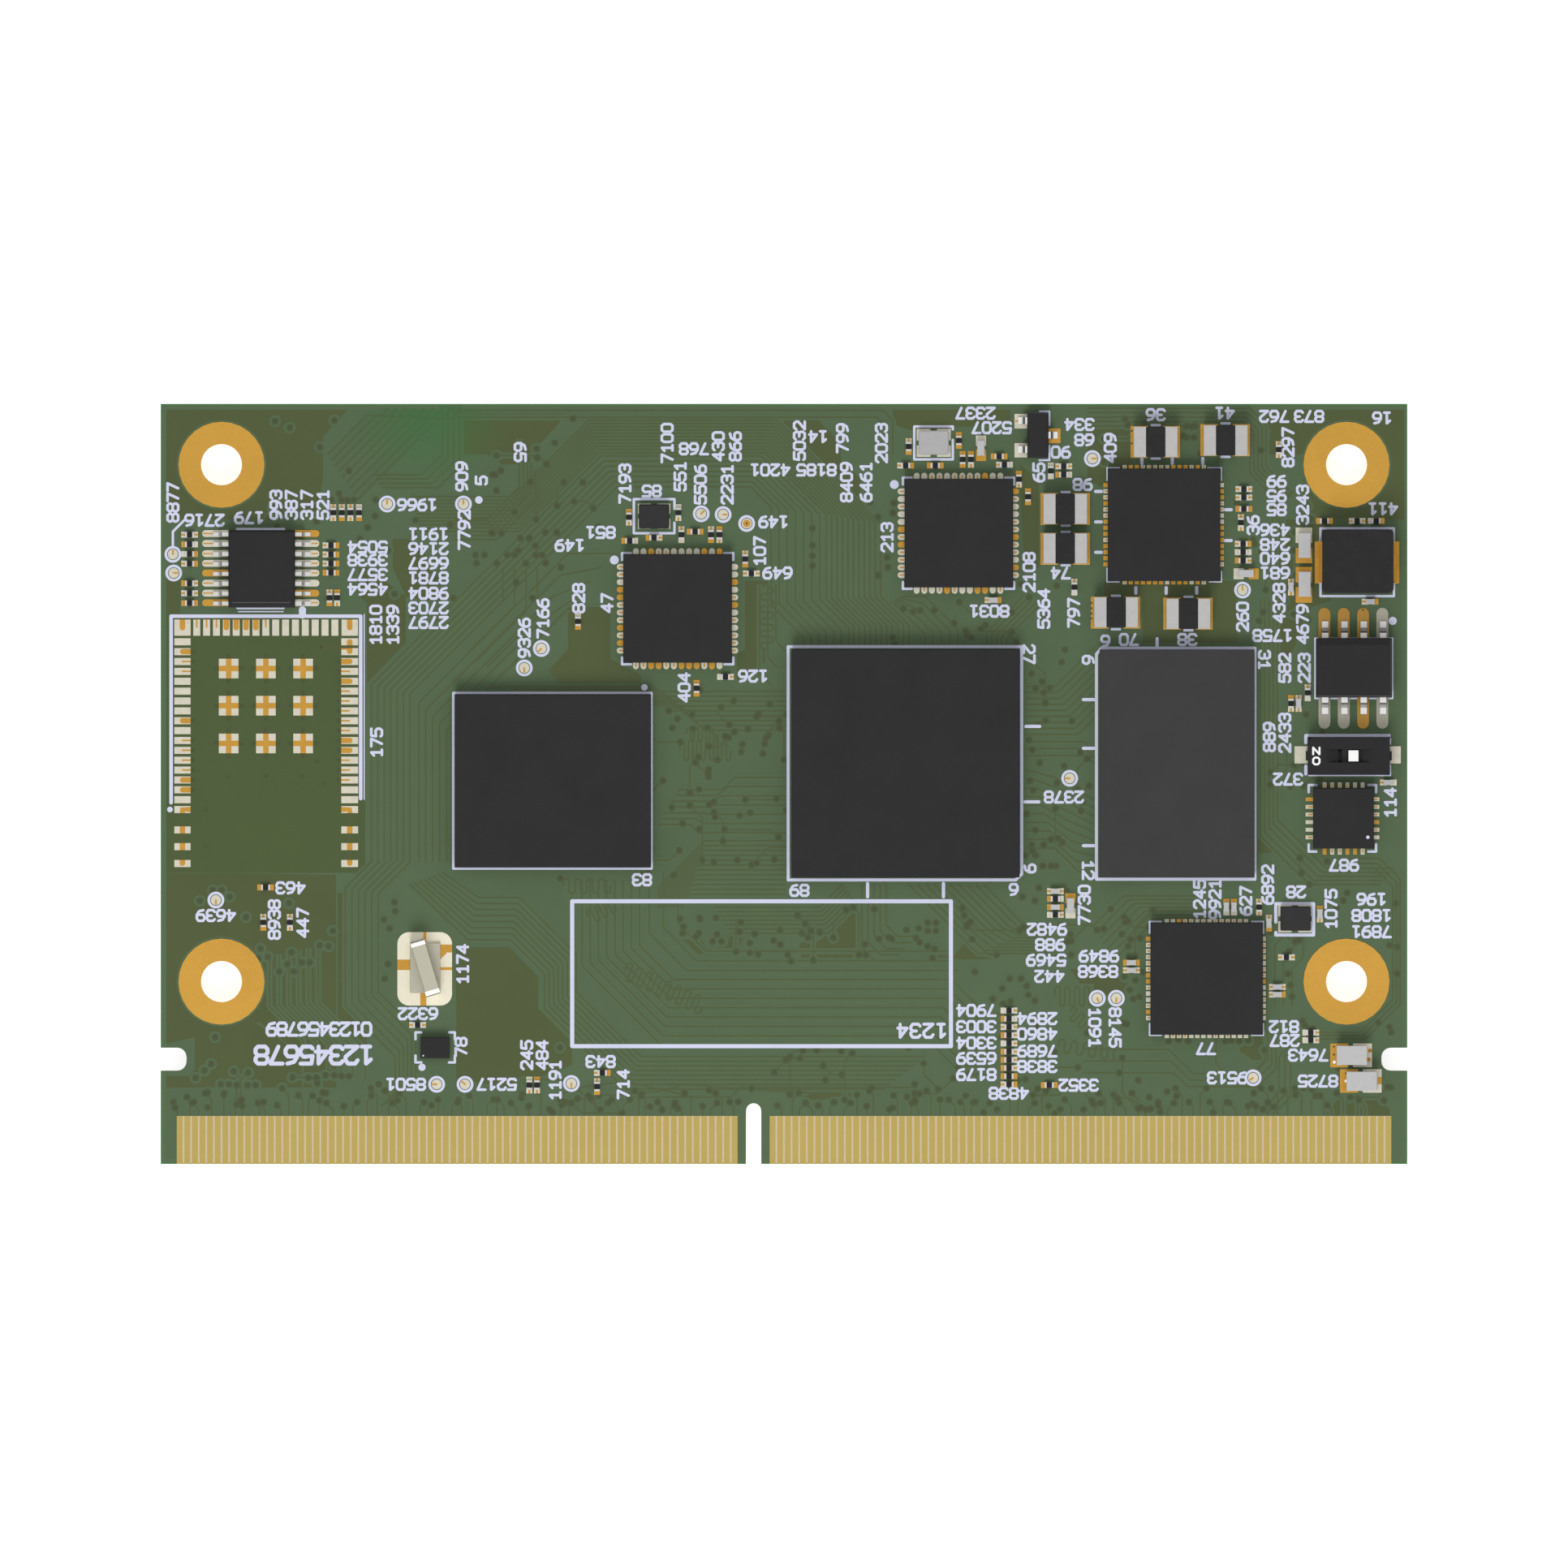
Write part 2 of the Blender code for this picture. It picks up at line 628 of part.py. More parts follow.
def make_crystal(name, material, parts, top_side, spot):
    bm = bmesh.new()
    add_standing_box(bm, CRYSTAL_LENGTH, CRYSTAL_WIDTH, CRYSTAL_HEIGHT - CRYSTAL_LID_HEIGHT)
    extend(bm, UP, 0.0, -CRYSTAL_LID_MARGIN)
    extend(bm, UP, CRYSTAL_LID_HEIGHT)
    new_object(name, bm, material, parts, top_side, spot, SOLDER_GAP)


def make_input_inductor(parts, helpers, top_side):
    bm = bmesh.new()
    add_standing_box(bm, BLOCK_LENGTH, BLOCK_WIDTH, BLOCK_HEIGHT)
    upright = [edge for edge in bm.edges if abs(edge.verts[0].co.z - edge.verts[1].co.z) > 1e-6]
    bmesh.ops.bevel(bm, geom=upright, offset=BLOCK_CORNER, segments=2, profile=0.5, affect="EDGES")
    extend(bm, UP, PACKAGE_EDGE, -PACKAGE_EDGE)
    moulding = new_material("inductor_moulding", (0.035, 0.035, 0.036), 0.6)
    height = CLIP_THICKNESS + SOLDER_GAP
    block = new_object(
        "input_inductor", bm, moulding, parts, top_side, INPUT_INDUCTOR_SPOT, height
    )
    bm = bmesh.new()
    outside = BLOCK_LENGTH / 2 + CLIP_THICKNESS / 2
    underside = -CLIP_THICKNESS / 2
    for turn in (0.0, math.pi):
        path = [
            (outside - CLIP_FOOT, underside),
            (outside, underside),
            (outside, CLIP_HEIGHT),
            (outside - 2 * CLIP_THICKNESS, CLIP_HEIGHT + CLIP_THICKNESS),
        ]
        add_strip(bm, path, CLIP_THICKNESS + 2 * CLIP_BITE, CLIP_WIDTH, turn)
    combine(block, "UNION", new_helper("input_inductor_clips", bm, helpers, block))


def make_test_loop(parts, helpers, top_side):
    bm = bmesh.new()
    add_standing_box(bm, LOOP_PLATE_WIDTH, LOOP_PLATE_LENGTH, LOOP_PLATE_THICKNESS)
    metal = new_material("test_loop_tin", (0.52, 0.50, 0.42), 0.35, 0.9)
    plate = new_object("ground_test_loop", bm, metal, parts, top_side, TEST_LOOP_SPOT, SOLDER_GAP)
    end = (LOOP_STRIP_LENGTH - LOOP_STRIP_THICKNESS) / 2
    crown = LOOP_HEIGHT - LOOP_STRIP_THICKNESS / 2
    rise = [
        (end - LOOP_BEND, LOOP_PLATE_THICKNESS / 2),
        (end, LOOP_PLATE_THICKNESS + LOOP_BEND),
        (end, crown - LOOP_BEND),
        (end - LOOP_BEND, crown),
    ]
    path = [(-along, height) for along, height in rise] + rise[::-1]
    bm = bmesh.new()
    heading = math.radians(90 + LOOP_SLANT_DEG)
    add_strip(bm, path, LOOP_STRIP_THICKNESS, LOOP_STRIP_WIDTH, heading)
    combine(plate, "UNION", new_helper("test_loop_strip", bm, helpers, plate))


def pocket_size():
    """Length, width and height of the space in the switch cover that the slider's foot runs in."""
    return (
        SLIDER_FOOT_LENGTH + SLIDE_TRAVEL + 2 * RUNNING_GAP,
        SLIDER_FOOT_WIDTH + 2 * RUNNING_GAP,
        SLIDER_FOOT_HEIGHT + RUNNING_GAP,
    )


def make_switch_cover(plastic, parts, helpers, top_side):
    cover_foot = SOLDER_GAP + SWITCH_BASE_HEIGHT + SEAM_GAP
    bm = bmesh.new()
    add_standing_box(bm, SWITCH_LENGTH, SWITCH_WIDTH, SWITCH_COVER_HEIGHT)
    corner = [
        edge
        for edge in bm.edges
        if all(vertex.co.x < 0 < vertex.co.y for vertex in edge.verts)
    ]
    bmesh.ops.bevel(bm, geom=corner, offset=SWITCH_CORNER_CUT, segments=1, affect="EDGES")
    cover = new_object("switch_cover", bm, plastic, parts, top_side, SWITCH_SPOT, cover_foot)

    length, width, height = pocket_size()
    bm = bmesh.new()
    add_standing_box(bm, length, width, height + CUT_START, (0, 0, -CUT_START))
    combine(cover, "DIFFERENCE", new_helper("switch_pocket", bm, helpers, cover))

    window = (KNOB_LENGTH + SLIDE_TRAVEL) / 2 + RUNNING_GAP
    recess = SWITCH_RECESS_LENGTH / 2
    floor = SWITCH_COVER_HEIGHT - SWITCH_RECESS_DEPTH
    above = SWITCH_COVER_HEIGHT + CUT_START
    outline = [
        (-window, height / 2), (-window, floor), (-recess, SWITCH_COVER_HEIGHT), (-recess, above),
        (recess, above), (recess, SWITCH_COVER_HEIGHT), (window, floor), (window, height / 2),
    ]
    half = KNOB_WIDTH / 2 + KNOB_SIDE_GAP
    bm = bmesh.new()
    add_prism(bm, [(x, -half, z) for x, z in outline], Vector((0, 1, 0)), 2 * half)
    combine(cover, "DIFFERENCE", new_helper("switch_window", bm, helpers, cover))


def make_switch_base(plastic, parts, helpers, top_side):
    bm = bmesh.new()
    add_standing_box(bm, SWITCH_LENGTH, SWITCH_WIDTH, SWITCH_BASE_HEIGHT)
    base = new_object("switch_base", bm, plastic, parts, top_side, SWITCH_SPOT, SOLDER_GAP)
    bm = bmesh.new()
    depth = TERMINAL_THICKNESS + SEAM_GAP
    inner = TERMINAL_INNER_GAP / 2 - SEAM_GAP
    outer = SWITCH_LENGTH / 2 + CUT_START
    for side in (-1, 1):
        middle = (side * (inner + outer) / 2, 0, SWITCH_BASE_HEIGHT - depth)
        width = TERMINAL_WIDTH + 2 * SEAM_GAP
        add_standing_box(bm, outer - inner, width, depth + CUT_START, middle)
    combine(base, "DIFFERENCE", new_helper("terminal_grooves", bm, helpers, base))


def make_switch_terminals(parts, top_side):
    """A strip that lies in a groove of the base, comes out at the end and turns down to its pad."""
    metal = new_material("switch_terminal_metal", (0.05, 0.05, 0.055), 0.4, 0.6)
    run_height = SOLDER_GAP + SWITCH_BASE_HEIGHT - TERMINAL_THICKNESS / 2
    outside = SWITCH_LENGTH / 2 + SEAM_GAP + TERMINAL_THICKNESS / 2
    path = [(TERMINAL_INNER_GAP / 2, run_height), (outside, run_height), (outside, SOLDER_GAP)]
    for name, turn in (("switch_terminal_left", math.pi), ("switch_terminal_right", 0.0)):
        bm = bmesh.new()
        add_strip(bm, path, TERMINAL_THICKNESS, TERMINAL_WIDTH, turn)
        new_object(name, bm, metal, parts, top_side, SWITCH_SPOT)


def make_switch_slider(parts, helpers, top_side):
    """The slider at its right stop, and the leaf spring in the groove under its foot.

    Their origin lies on the line that they slide along.
    """
    rest = new_empty("switch_slide_line", parts, top_side)
    base_top = SOLDER_GAP + SWITCH_BASE_HEIGHT
    rest.location = grid_spot(SWITCH_SPOT, base_top) + RIGHT * SLIDE_TRAVEL / 2
    foot = SEAM_GAP + RUNNING_GAP / 2
    knob_top = SEAM_GAP + SWITCH_COVER_HEIGHT - KNOB_DROP
    foot_height = SLIDER_FOOT_HEIGHT - RUNNING_GAP / 2

    bm = bmesh.new()
    add_standing_box(bm, SLIDER_FOOT_LENGTH, SLIDER_FOOT_WIDTH, foot_height, (0, 0, foot))
    white = new_material("slider_white", (0.85, 0.85, 0.84), 0.4)
    slider = new_object("switch_slider", bm, white, parts, rest)
    bm = bmesh.new()
    knob_foot = foot + foot_height / 2
    add_standing_box(bm, KNOB_LENGTH, KNOB_WIDTH, knob_top - knob_foot, (0, 0, knob_foot))
    combine(slider, "UNION", new_helper("slider_knob", bm, helpers, slider))
    groove = (CONTACT_LENGTH + 2 * RUNNING_GAP, CONTACT_WIDTH + 2 * RUNNING_GAP)
    groove_top = CONTACT_RISE + 2 * CONTACT_THICKNESS + SEAM_GAP
    bm = bmesh.new()
    add_standing_box(bm, *groove, groove_top)
    combine(slider, "DIFFERENCE", new_helper("contact_groove", bm, helpers, slider))

    low = CONTACT_THICKNESS / 2 + SEAM_GAP
    reach = CONTACT_LENGTH / 2
    path = [(-reach, low), (-reach / 2, low + CONTACT_RISE), (reach / 2, low + CONTACT_RISE)]
    path.append((reach, low))
    bm = bmesh.new()
    add_strip(bm, path, CONTACT_THICKNESS, CONTACT_WIDTH)
    bronze = new_material("contact_bronze", (0.62, 0.42, 0.18), 0.3, 1.0)
    new_object("switch_contact", bm, bronze, parts, rest)


def build():
    clear_scene()
    parts = new_collection("system_on_module")
    helpers = new_collection("boolean_helpers")

    black = new_material("package_black", (0.032, 0.032, 0.033), 0.55)
    grey = new_material("package_grey", (0.051, 0.051, 0.051), 0.55)
    tinned = new_material("tinned_ends", (0.50, 0.50, 0.50), 0.4, 0.7)
    ceramic = new_material("capacitor_ceramic", (0.30, 0.28, 0.25), 0.5)
    ceramic_lid = new_material("crystal_lid", (0.06, 0.06, 0.06), 0.4, 0.5)
    switch_plastic = new_material("switch_plastic", (0.03, 0.03, 0.031), 0.6)

    board = make_board(parts, helpers)
    top_side = new_empty("board_top", parts, board)
    top_side.location.z = BOARD_TOP

    on_balls = [
        ("processor", black, PROCESSOR_SPOT, (PROCESSOR_SIDE, PROCESSOR_SIDE, PROCESSOR_HEIGHT)),
        ("memory", grey, MEMORY_SPOT, (MEMORY_WIDTH, MEMORY_LENGTH, MEMORY_HEIGHT)),
        ("flash_storage", black, STORAGE_SPOT, (STORAGE_LENGTH, STORAGE_WIDTH, STORAGE_HEIGHT)),
    ]
    for name, material, spot, size in on_balls:
        make_package(name, material, parts, top_side, spot, size, BALL_STANDOFF)
    controller_spot, inductor_spots = power_spots()
    square = [
        ("power_controller", controller_spot, CONTROLLER_SIDE),
        ("usb_hub", HUB_SPOT, HUB_SIDE),
        ("port_expander", EXPANDER_SPOT, EXPANDER_SIDE),
        ("ethernet_transceiver_left", LEFT_TRANSCEIVER_SPOT, TRANSCEIVER_SIDE),
        ("ethernet_transceiver_right", RIGHT_TRANSCEIVER_SPOT, TRANSCEIVER_SIDE),
    ]
    for name, spot, side in square:
        size = (side, side, NO_LEAD_HEIGHT)
        make_package(name, black, parts, top_side, spot, size, SOLDER_GAP)
    size = (CLOCK_LENGTH, CLOCK_WIDTH, CLOCK_HEIGHT)
    make_package("clock_chip", black, parts, top_side, CLOCK_SPOT, size, SOLDER_GAP)

    offsets = lead_offsets(8, SHIFTER_LEAD_PITCH)
    make_leaded_package(
        "level_shifter", black, parts, helpers, top_side, SHIFTER_SPOT,
        (SHIFTER_WIDTH, SHIFTER_LENGTH, SHIFTER_HEIGHT),
        (SHIFTER_LEAD_WIDTH, SHIFTER_LEAD_REACH),
        [(0, SHIFTER_WIDTH / 2, offsets), (180, SHIFTER_WIDTH / 2, offsets)],
    )
    offsets = lead_offsets(4, BOOT_FLASH_LEAD_PITCH)
    make_leaded_package(
        "boot_flash", black, parts, helpers, top_side, BOOT_FLASH_SPOT,
        (BOOT_FLASH_LENGTH, BOOT_FLASH_WIDTH, BOOT_FLASH_HEIGHT),
        (BOOT_FLASH_LEAD_WIDTH, BOOT_FLASH_LEAD_REACH),
        [(90, BOOT_FLASH_WIDTH / 2, offsets), (-90, BOOT_FLASH_WIDTH / 2, offsets)],
    )
    make_leaded_package(
        "diode_pair", black, parts, helpers, top_side, DIODE_SPOT,
        (DIODE_WIDTH, DIODE_LENGTH, DIODE_HEIGHT),
        (DIODE_LEAD_WIDTH, DIODE_LEAD_REACH),
        [(0, DIODE_WIDTH / 2, [0.0]), (180, DIODE_WIDTH / 2, lead_offsets(2, DIODE_LEAD_PITCH))],
    )

    for number, spot in enumerate(CRYSTAL_SPOTS, 1):
        make_crystal(f"crystal_{number}", ceramic_lid, parts, top_side, spot)
    size = (INDUCTOR_LENGTH, INDUCTOR_WIDTH, INDUCTOR_HEIGHT)
    for number, spot in enumerate(inductor_spots, 1):
        name = f"power_inductor_{number}"
        make_end_capped_chip(name, tinned, parts, top_side, spot, size, INDUCTOR_END)
    size = (BULK_LENGTH, BULK_WIDTH, BULK_HEIGHT)
    for number, spot in enumerate(BULK_SPOTS, 1):
        name = f"bulk_capacitor_{number}"
        make_end_capped_chip(name, ceramic, parts, top_side, spot, size, BULK_END)
    size = (OUTPUT_LENGTH, OUTPUT_WIDTH, OUTPUT_HEIGHT)
    block = (BLOCK_LENGTH + 2 * CLIP_THICKNESS, BLOCK_WIDTH)
    for number, spot in enumerate(OUTPUT_SPOTS, 1):
        name = f"output_capacitor_{number}"
        spot = clear_of(spot, (OUTPUT_WIDTH, OUTPUT_LENGTH), INPUT_INDUCTOR_SPOT, block, 0, -1)
        make_end_capped_chip(name, ceramic, parts, top_side, spot, size, OUTPUT_END, 90)
    size = (FILTER_LENGTH, FILTER_WIDTH, FILTER_HEIGHT)
    for number, (column, row, turn) in enumerate(FILTER_SPOTS, 1):
        name, spot = f"filter_capacitor_{number}", (column, row)
        make_end_capped_chip(name, ceramic, parts, top_side, spot, size, FILTER_END, turn)

    make_input_inductor(parts, helpers, top_side)
    make_test_loop(parts, helpers, top_side)
    make_switch_base(switch_plastic, parts, helpers, top_side)
    make_switch_cover(switch_plastic, parts, helpers, top_side)
    make_switch_terminals(parts, top_side)
    make_switch_slider(parts, helpers, top_side)


build()
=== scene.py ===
import math
import random

import bmesh
import bpy
from mathutils import Matrix, Vector
from mathutils.geometry import delaunay_2d_cdt


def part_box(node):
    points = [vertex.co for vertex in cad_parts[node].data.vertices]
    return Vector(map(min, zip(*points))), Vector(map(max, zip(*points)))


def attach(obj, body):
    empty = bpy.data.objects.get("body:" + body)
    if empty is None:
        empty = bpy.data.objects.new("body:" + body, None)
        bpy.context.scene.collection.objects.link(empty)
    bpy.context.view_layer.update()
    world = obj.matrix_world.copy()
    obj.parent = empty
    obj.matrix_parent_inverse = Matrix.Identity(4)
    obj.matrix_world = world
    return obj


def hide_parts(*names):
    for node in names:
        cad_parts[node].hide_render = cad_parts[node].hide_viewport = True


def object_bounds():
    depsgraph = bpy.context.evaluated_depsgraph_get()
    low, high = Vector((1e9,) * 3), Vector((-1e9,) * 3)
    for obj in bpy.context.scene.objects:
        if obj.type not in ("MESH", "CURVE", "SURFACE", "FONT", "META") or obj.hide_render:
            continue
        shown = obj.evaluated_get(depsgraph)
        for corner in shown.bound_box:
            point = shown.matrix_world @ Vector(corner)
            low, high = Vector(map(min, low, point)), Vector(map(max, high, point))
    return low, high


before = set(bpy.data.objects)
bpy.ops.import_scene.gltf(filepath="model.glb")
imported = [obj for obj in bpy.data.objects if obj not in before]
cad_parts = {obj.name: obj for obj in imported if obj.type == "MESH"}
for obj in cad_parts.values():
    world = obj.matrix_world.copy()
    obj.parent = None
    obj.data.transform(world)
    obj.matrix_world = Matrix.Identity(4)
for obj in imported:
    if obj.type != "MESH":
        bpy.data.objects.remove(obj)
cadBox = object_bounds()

# The photograph looks straight down on the board. One metre there is this many pixels, and the
# board's middle is at this pixel, so every place below is written as it is read off the photo.
photo = {"middle": 966.0, "perMetre": 18732.0, "size": 1932}
px = 1 / photo["perMetre"]
mm = 0.001


def fromPhoto(x, y, z=0.0):
    middle = photo["middle"]
    return Vector(((x - middle) * px, (middle - y) * px, z))


# Heights, read off the CAD board
def findLevels():
    areas = {}
    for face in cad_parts["circuit_board"].data.polygons:
        if face.normal.z > 0.99:
            height = round(face.center.z, 6)
            areas[height] = areas.get(height, 0) + face.area
    return max(areas, key=areas.get), areas


boardTop, topAreas = findLevels()
boardUnder = boardTop - 1.2 * mm
copper = 0.035 * mm
print("board top at", round(boardTop / mm, 3), "mm")


# Node helpers
class Wire:
    def __init__(self, graph, socket):
        self.graph, self.socket = graph, socket

    def maths(self, operation, *values):
        return self.graph.node("ShaderNodeMath", {"operation": operation}, dict(enumerate(values)))

    def __add__(self, other):
        return self.maths("ADD", self, other)

    __radd__ = __add__

    def __sub__(self, other):
        return self.maths("SUBTRACT", self, other)

    def __rsub__(self, other):
        return self.maths("SUBTRACT", other, self)

    def __mul__(self, other):
        return self.maths("MULTIPLY", self, other)

    __rmul__ = __mul__

    def __truediv__(self, other):
        return self.maths("DIVIDE", self, other)

    def __gt__(self, other):
        return self.maths("GREATER_THAN", self, other)

    def __lt__(self, other):
        return self.maths("LESS_THAN", self, other)

    def size(self):
        return self.maths("ABSOLUTE", self)

    def atLeast(self, other):
        return self.maths("MAXIMUM", self, other)

    def atMost(self, other):
        return self.maths("MINIMUM", self, other)

    def root(self):
        return self.maths("SQRT", self)

    def ramp(self, low, high):
        settings = {"interpolation_type": "SMOOTHSTEP", "clamp": True}
        return self.graph.node("ShaderNodeMapRange", settings, {"Value": self, "From Min": low, "From Max": high})

    def out(self, name):
        return Wire(self.graph, self.socket.node.outputs[name])


class Graph:
    def __init__(self, tree):
        self.tree = tree

    def node(self, kind, settings=None, sockets=None, out=0):
        made = self.tree.nodes.new(kind)
        for name, value in (settings or {}).items():
            if name == "stops":
                stops = made.color_ramp.elements
                while len(stops) < len(value):
                    stops.new(1.0)
                for stop, (place, colour) in zip(stops, value):
                    stop.position, stop.color = place, colour
            else:
                setattr(made, name, value)
        for name, value in (sockets or {}).items():
            for one in value if isinstance(value, list) else [value]:
                if isinstance(one, Wire):
                    self.tree.links.new(one.socket, made.inputs[name])
                else:
                    made.inputs[name].default_value = one
        return Wire(self, made.outputs[out]) if made.outputs else made


# Finishes
def linear(colour):
    parts = [c / 255 for c in colour]
    return tuple(c / 12.92 if c <= 0.04045 else ((c + 0.055) / 1.055) ** 2.4 for c in parts) + (1.0,)


def scaled(colour, share):
    return tuple(min(1.0, c * share) for c in colour[:3]) + (1.0,)


def mixColours(graph, factor, first, second):
    sockets = {"Factor": factor, "A": first, "B": second}
    made = graph.tree.nodes.new("ShaderNodeMix")
    made.data_type = "RGBA"
    picked = {"Factor": made.inputs[0], "A": made.inputs[6], "B": made.inputs[7]}
    for name, value in sockets.items():
        if isinstance(value, Wire):
            graph.tree.links.new(value.socket, picked[name])
        else:
            picked[name].default_value = value
    return Wire(graph, made.outputs[2])


def startFinish(name, constants):
    material = bpy.data.materials.new(name)
    material.use_nodes = True
    graph = Graph(material.node_tree)
    shader = material.node_tree.nodes["Principled BSDF"]
    for socket, value in constants.items():
        shader.inputs[socket].default_value = value
    place = graph.node("ShaderNodeTexCoord", out=3)
    return material, graph, shader, place


def noise(graph, place, grain, detail=3.0):
    sockets = {"Vector": place, "Scale": 1 / grain, "Detail": detail, "Roughness": 0.6}
    return graph.node("ShaderNodeTexNoise", {}, sockets)


def paintedHighlight(graph, place, shade):
    # Painted highlight: one corner of the board's mask is painted a livelier green
    spot, reach = boardLook["highlightSpot"], boardLook["highlightReach"]
    apart = graph.node("ShaderNodeSeparateXYZ", {}, {0: place})
    x, y = apart - spot.x, apart.out("Y") - spot.y
    near = (1 - (x * x + y * y).root().ramp(0.0, reach)) * boardLook["highlightShare"] * (apart.out("Z") > boardTop / 2)
    return mixColours(graph, near, shade, linear(boardLook["highlightGreen"]))


def newFinish(name, colour, rough, metallic=0.0, specular=0.5, mottle=0.06, patch=2.0, grain=0.05,
              bump=0.15, roughSwing=0.08, **more):
    # patch and grain are millimetres across: slow shifts of tone, and the tooth of the surface
    constants = {"Metallic": metallic, "Specular IOR Level": specular, **more}
    material, graph, shader, place = startFinish(name, constants)
    base = linear(colour)
    slow = noise(graph, place, patch * mm)
    fine = noise(graph, place, grain * mm, 2.0)
    tone = (slow * 0.7 + fine * 0.3).ramp(0.3, 0.7)
    shade = mixColours(graph, tone, scaled(base, 1 - mottle), scaled(base, 1 + mottle))
    # the mask finishes carry the same painted highlight
    if name.endswith("Mask"):
        shade = paintedHighlight(graph, place, shade)
    graph.tree.links.new(shade.socket, shader.inputs["Base Color"])
    roughness = rough - roughSwing / 2 + fine * roughSwing
    graph.tree.links.new(roughness.socket, shader.inputs["Roughness"])
    raised = graph.node("ShaderNodeBump", {}, {"Strength": bump, "Distance": 0.01 * mm, "Height": fine})
    graph.tree.links.new(raised.socket, shader.inputs["Normal"])
    return material


boardLook = {
    "bareGreen": (76, 97, 66),
    "edgeGreen": (50, 115, 53), "highlightGreen": (41, 104, 48), "gold": (195, 149, 64),
    "fingerGold": (182, 160, 89), "fingerEnd": (171, 151, 87), "core": (102, 111, 53),
    "margin": 6.5 * px, "edgeLine": 1.2 * px, "clearance": 2.2 * px,
    "ringRadius": 2.83 * mm, "holeRadius": 1.35 * mm,
    "holes": [(x * mm, y * mm) for x in (-37, 37) for y in (21, -13)],
    # where the painted highlight sits, how far it reaches and how strong it is
    "highlightSpot": fromPhoto(528, 506), "highlightReach": 118 * px, "highlightShare": 0.58,
}


def makeBoardFinish():
    look = boardLook
    material, graph, shader, place = startFinish("solderMask", {"Specular IOR Level": 0.35})
    apart = graph.node("ShaderNodeSeparateXYZ", {}, {0: place})
    x, y, z = apart, apart.out("Y"), apart.out("Z")
    halfLength, halfWidth = cadBox[1].x, cadBox[1].y
    inward = (x.size() - halfLength).atLeast(y.size() - halfWidth)
    rim = inward > -look["margin"]
    edge = inward > -look["edgeLine"]
    side = inward > -0.004 * mm

    nearest = None
    for holeX, holeY in look["holes"]:
        away = ((x - holeX) * (x - holeX) + (y - holeY) * (y - holeY)).root()
        nearest = away if nearest is None else nearest.atMost(away)
    clear = nearest < look["ringRadius"] + look["clearance"]
    plated = nearest < look["ringRadius"] + 0.01 * mm
    barrel = nearest < look["holeRadius"] + 0.012 * mm

    slow = noise(graph, place, 6 * mm, 4.0)
    fine = noise(graph, place, 0.12 * mm, 2.0)
    weave = graph.node("ShaderNodeTexWave", {"bands_direction": "Z"}, {"Vector": place, "Scale": 1100.0, "Distortion": 0.6})
    bare = mixColours(graph, slow.ramp(0.3, 0.7), scaled(linear(look["bareGreen"]), 0.95), scaled(linear(look["bareGreen"]), 1.05))
    # the painted highlight on the board's own mask
    mask = paintedHighlight(graph, place, bare)
    mask = mixColours(graph, rim.atLeast(clear), mask, scaled(linear(look["bareGreen"]), 1.06))
    mask = mixColours(graph, edge, mask, linear(look["edgeGreen"]))

    core = mixColours(graph, weave * 0.5 + fine * 0.5, scaled(linear(look["core"]), 0.75), scaled(linear(look["core"]), 1.1))
    skin = (z > boardTop - 0.03 * mm).atLeast(z < boardUnder + 0.03 * mm)
    wall = mixColours(graph, skin, core, linear(look["edgeGreen"]))
    inside = (z > boardUnder + 0.002 * mm) * (z < boardTop - 0.002 * mm)
    mask = mixColours(graph, inside, mask, wall)

    raised = (z > boardTop + 0.01 * mm).atLeast(z < boardUnder - 0.01 * mm)
    fingerTone = mixColours(graph, slow, linear(look["fingerEnd"]), linear(look["fingerGold"]))
    worn = (y + halfWidth).ramp(0.0, 0.5 * mm)
    fingerTone = mixColours(graph, worn, scaled(linear(look["fingerGold"]), 0.9), fingerTone)
    goldTone = mixColours(graph, (slow * 0.6 + fine * 0.4).ramp(0.3, 0.7), scaled(linear(look["gold"]), 0.93), scaled(linear(look["gold"]), 1.05))
    metal = mixColours(graph, plated, fingerTone, goldTone)
    isGold = raised.atLeast(barrel)
    colour = mixColours(graph, isGold, mask, metal)
    graph.tree.links.new(colour.socket, shader.inputs["Base Color"])
    graph.tree.links.new((isGold * 0.85).socket, shader.inputs["Metallic"])
    graph.tree.links.new((0.55 - isGold * 0.17 + fine * 0.08).socket, shader.inputs["Roughness"])
    bump = graph.node("ShaderNodeBump", {}, {"Strength": 0.12, "Distance": 0.01 * mm, "Height": fine})
    graph.tree.links.new(bump.socket, shader.inputs["Normal"])
    return material


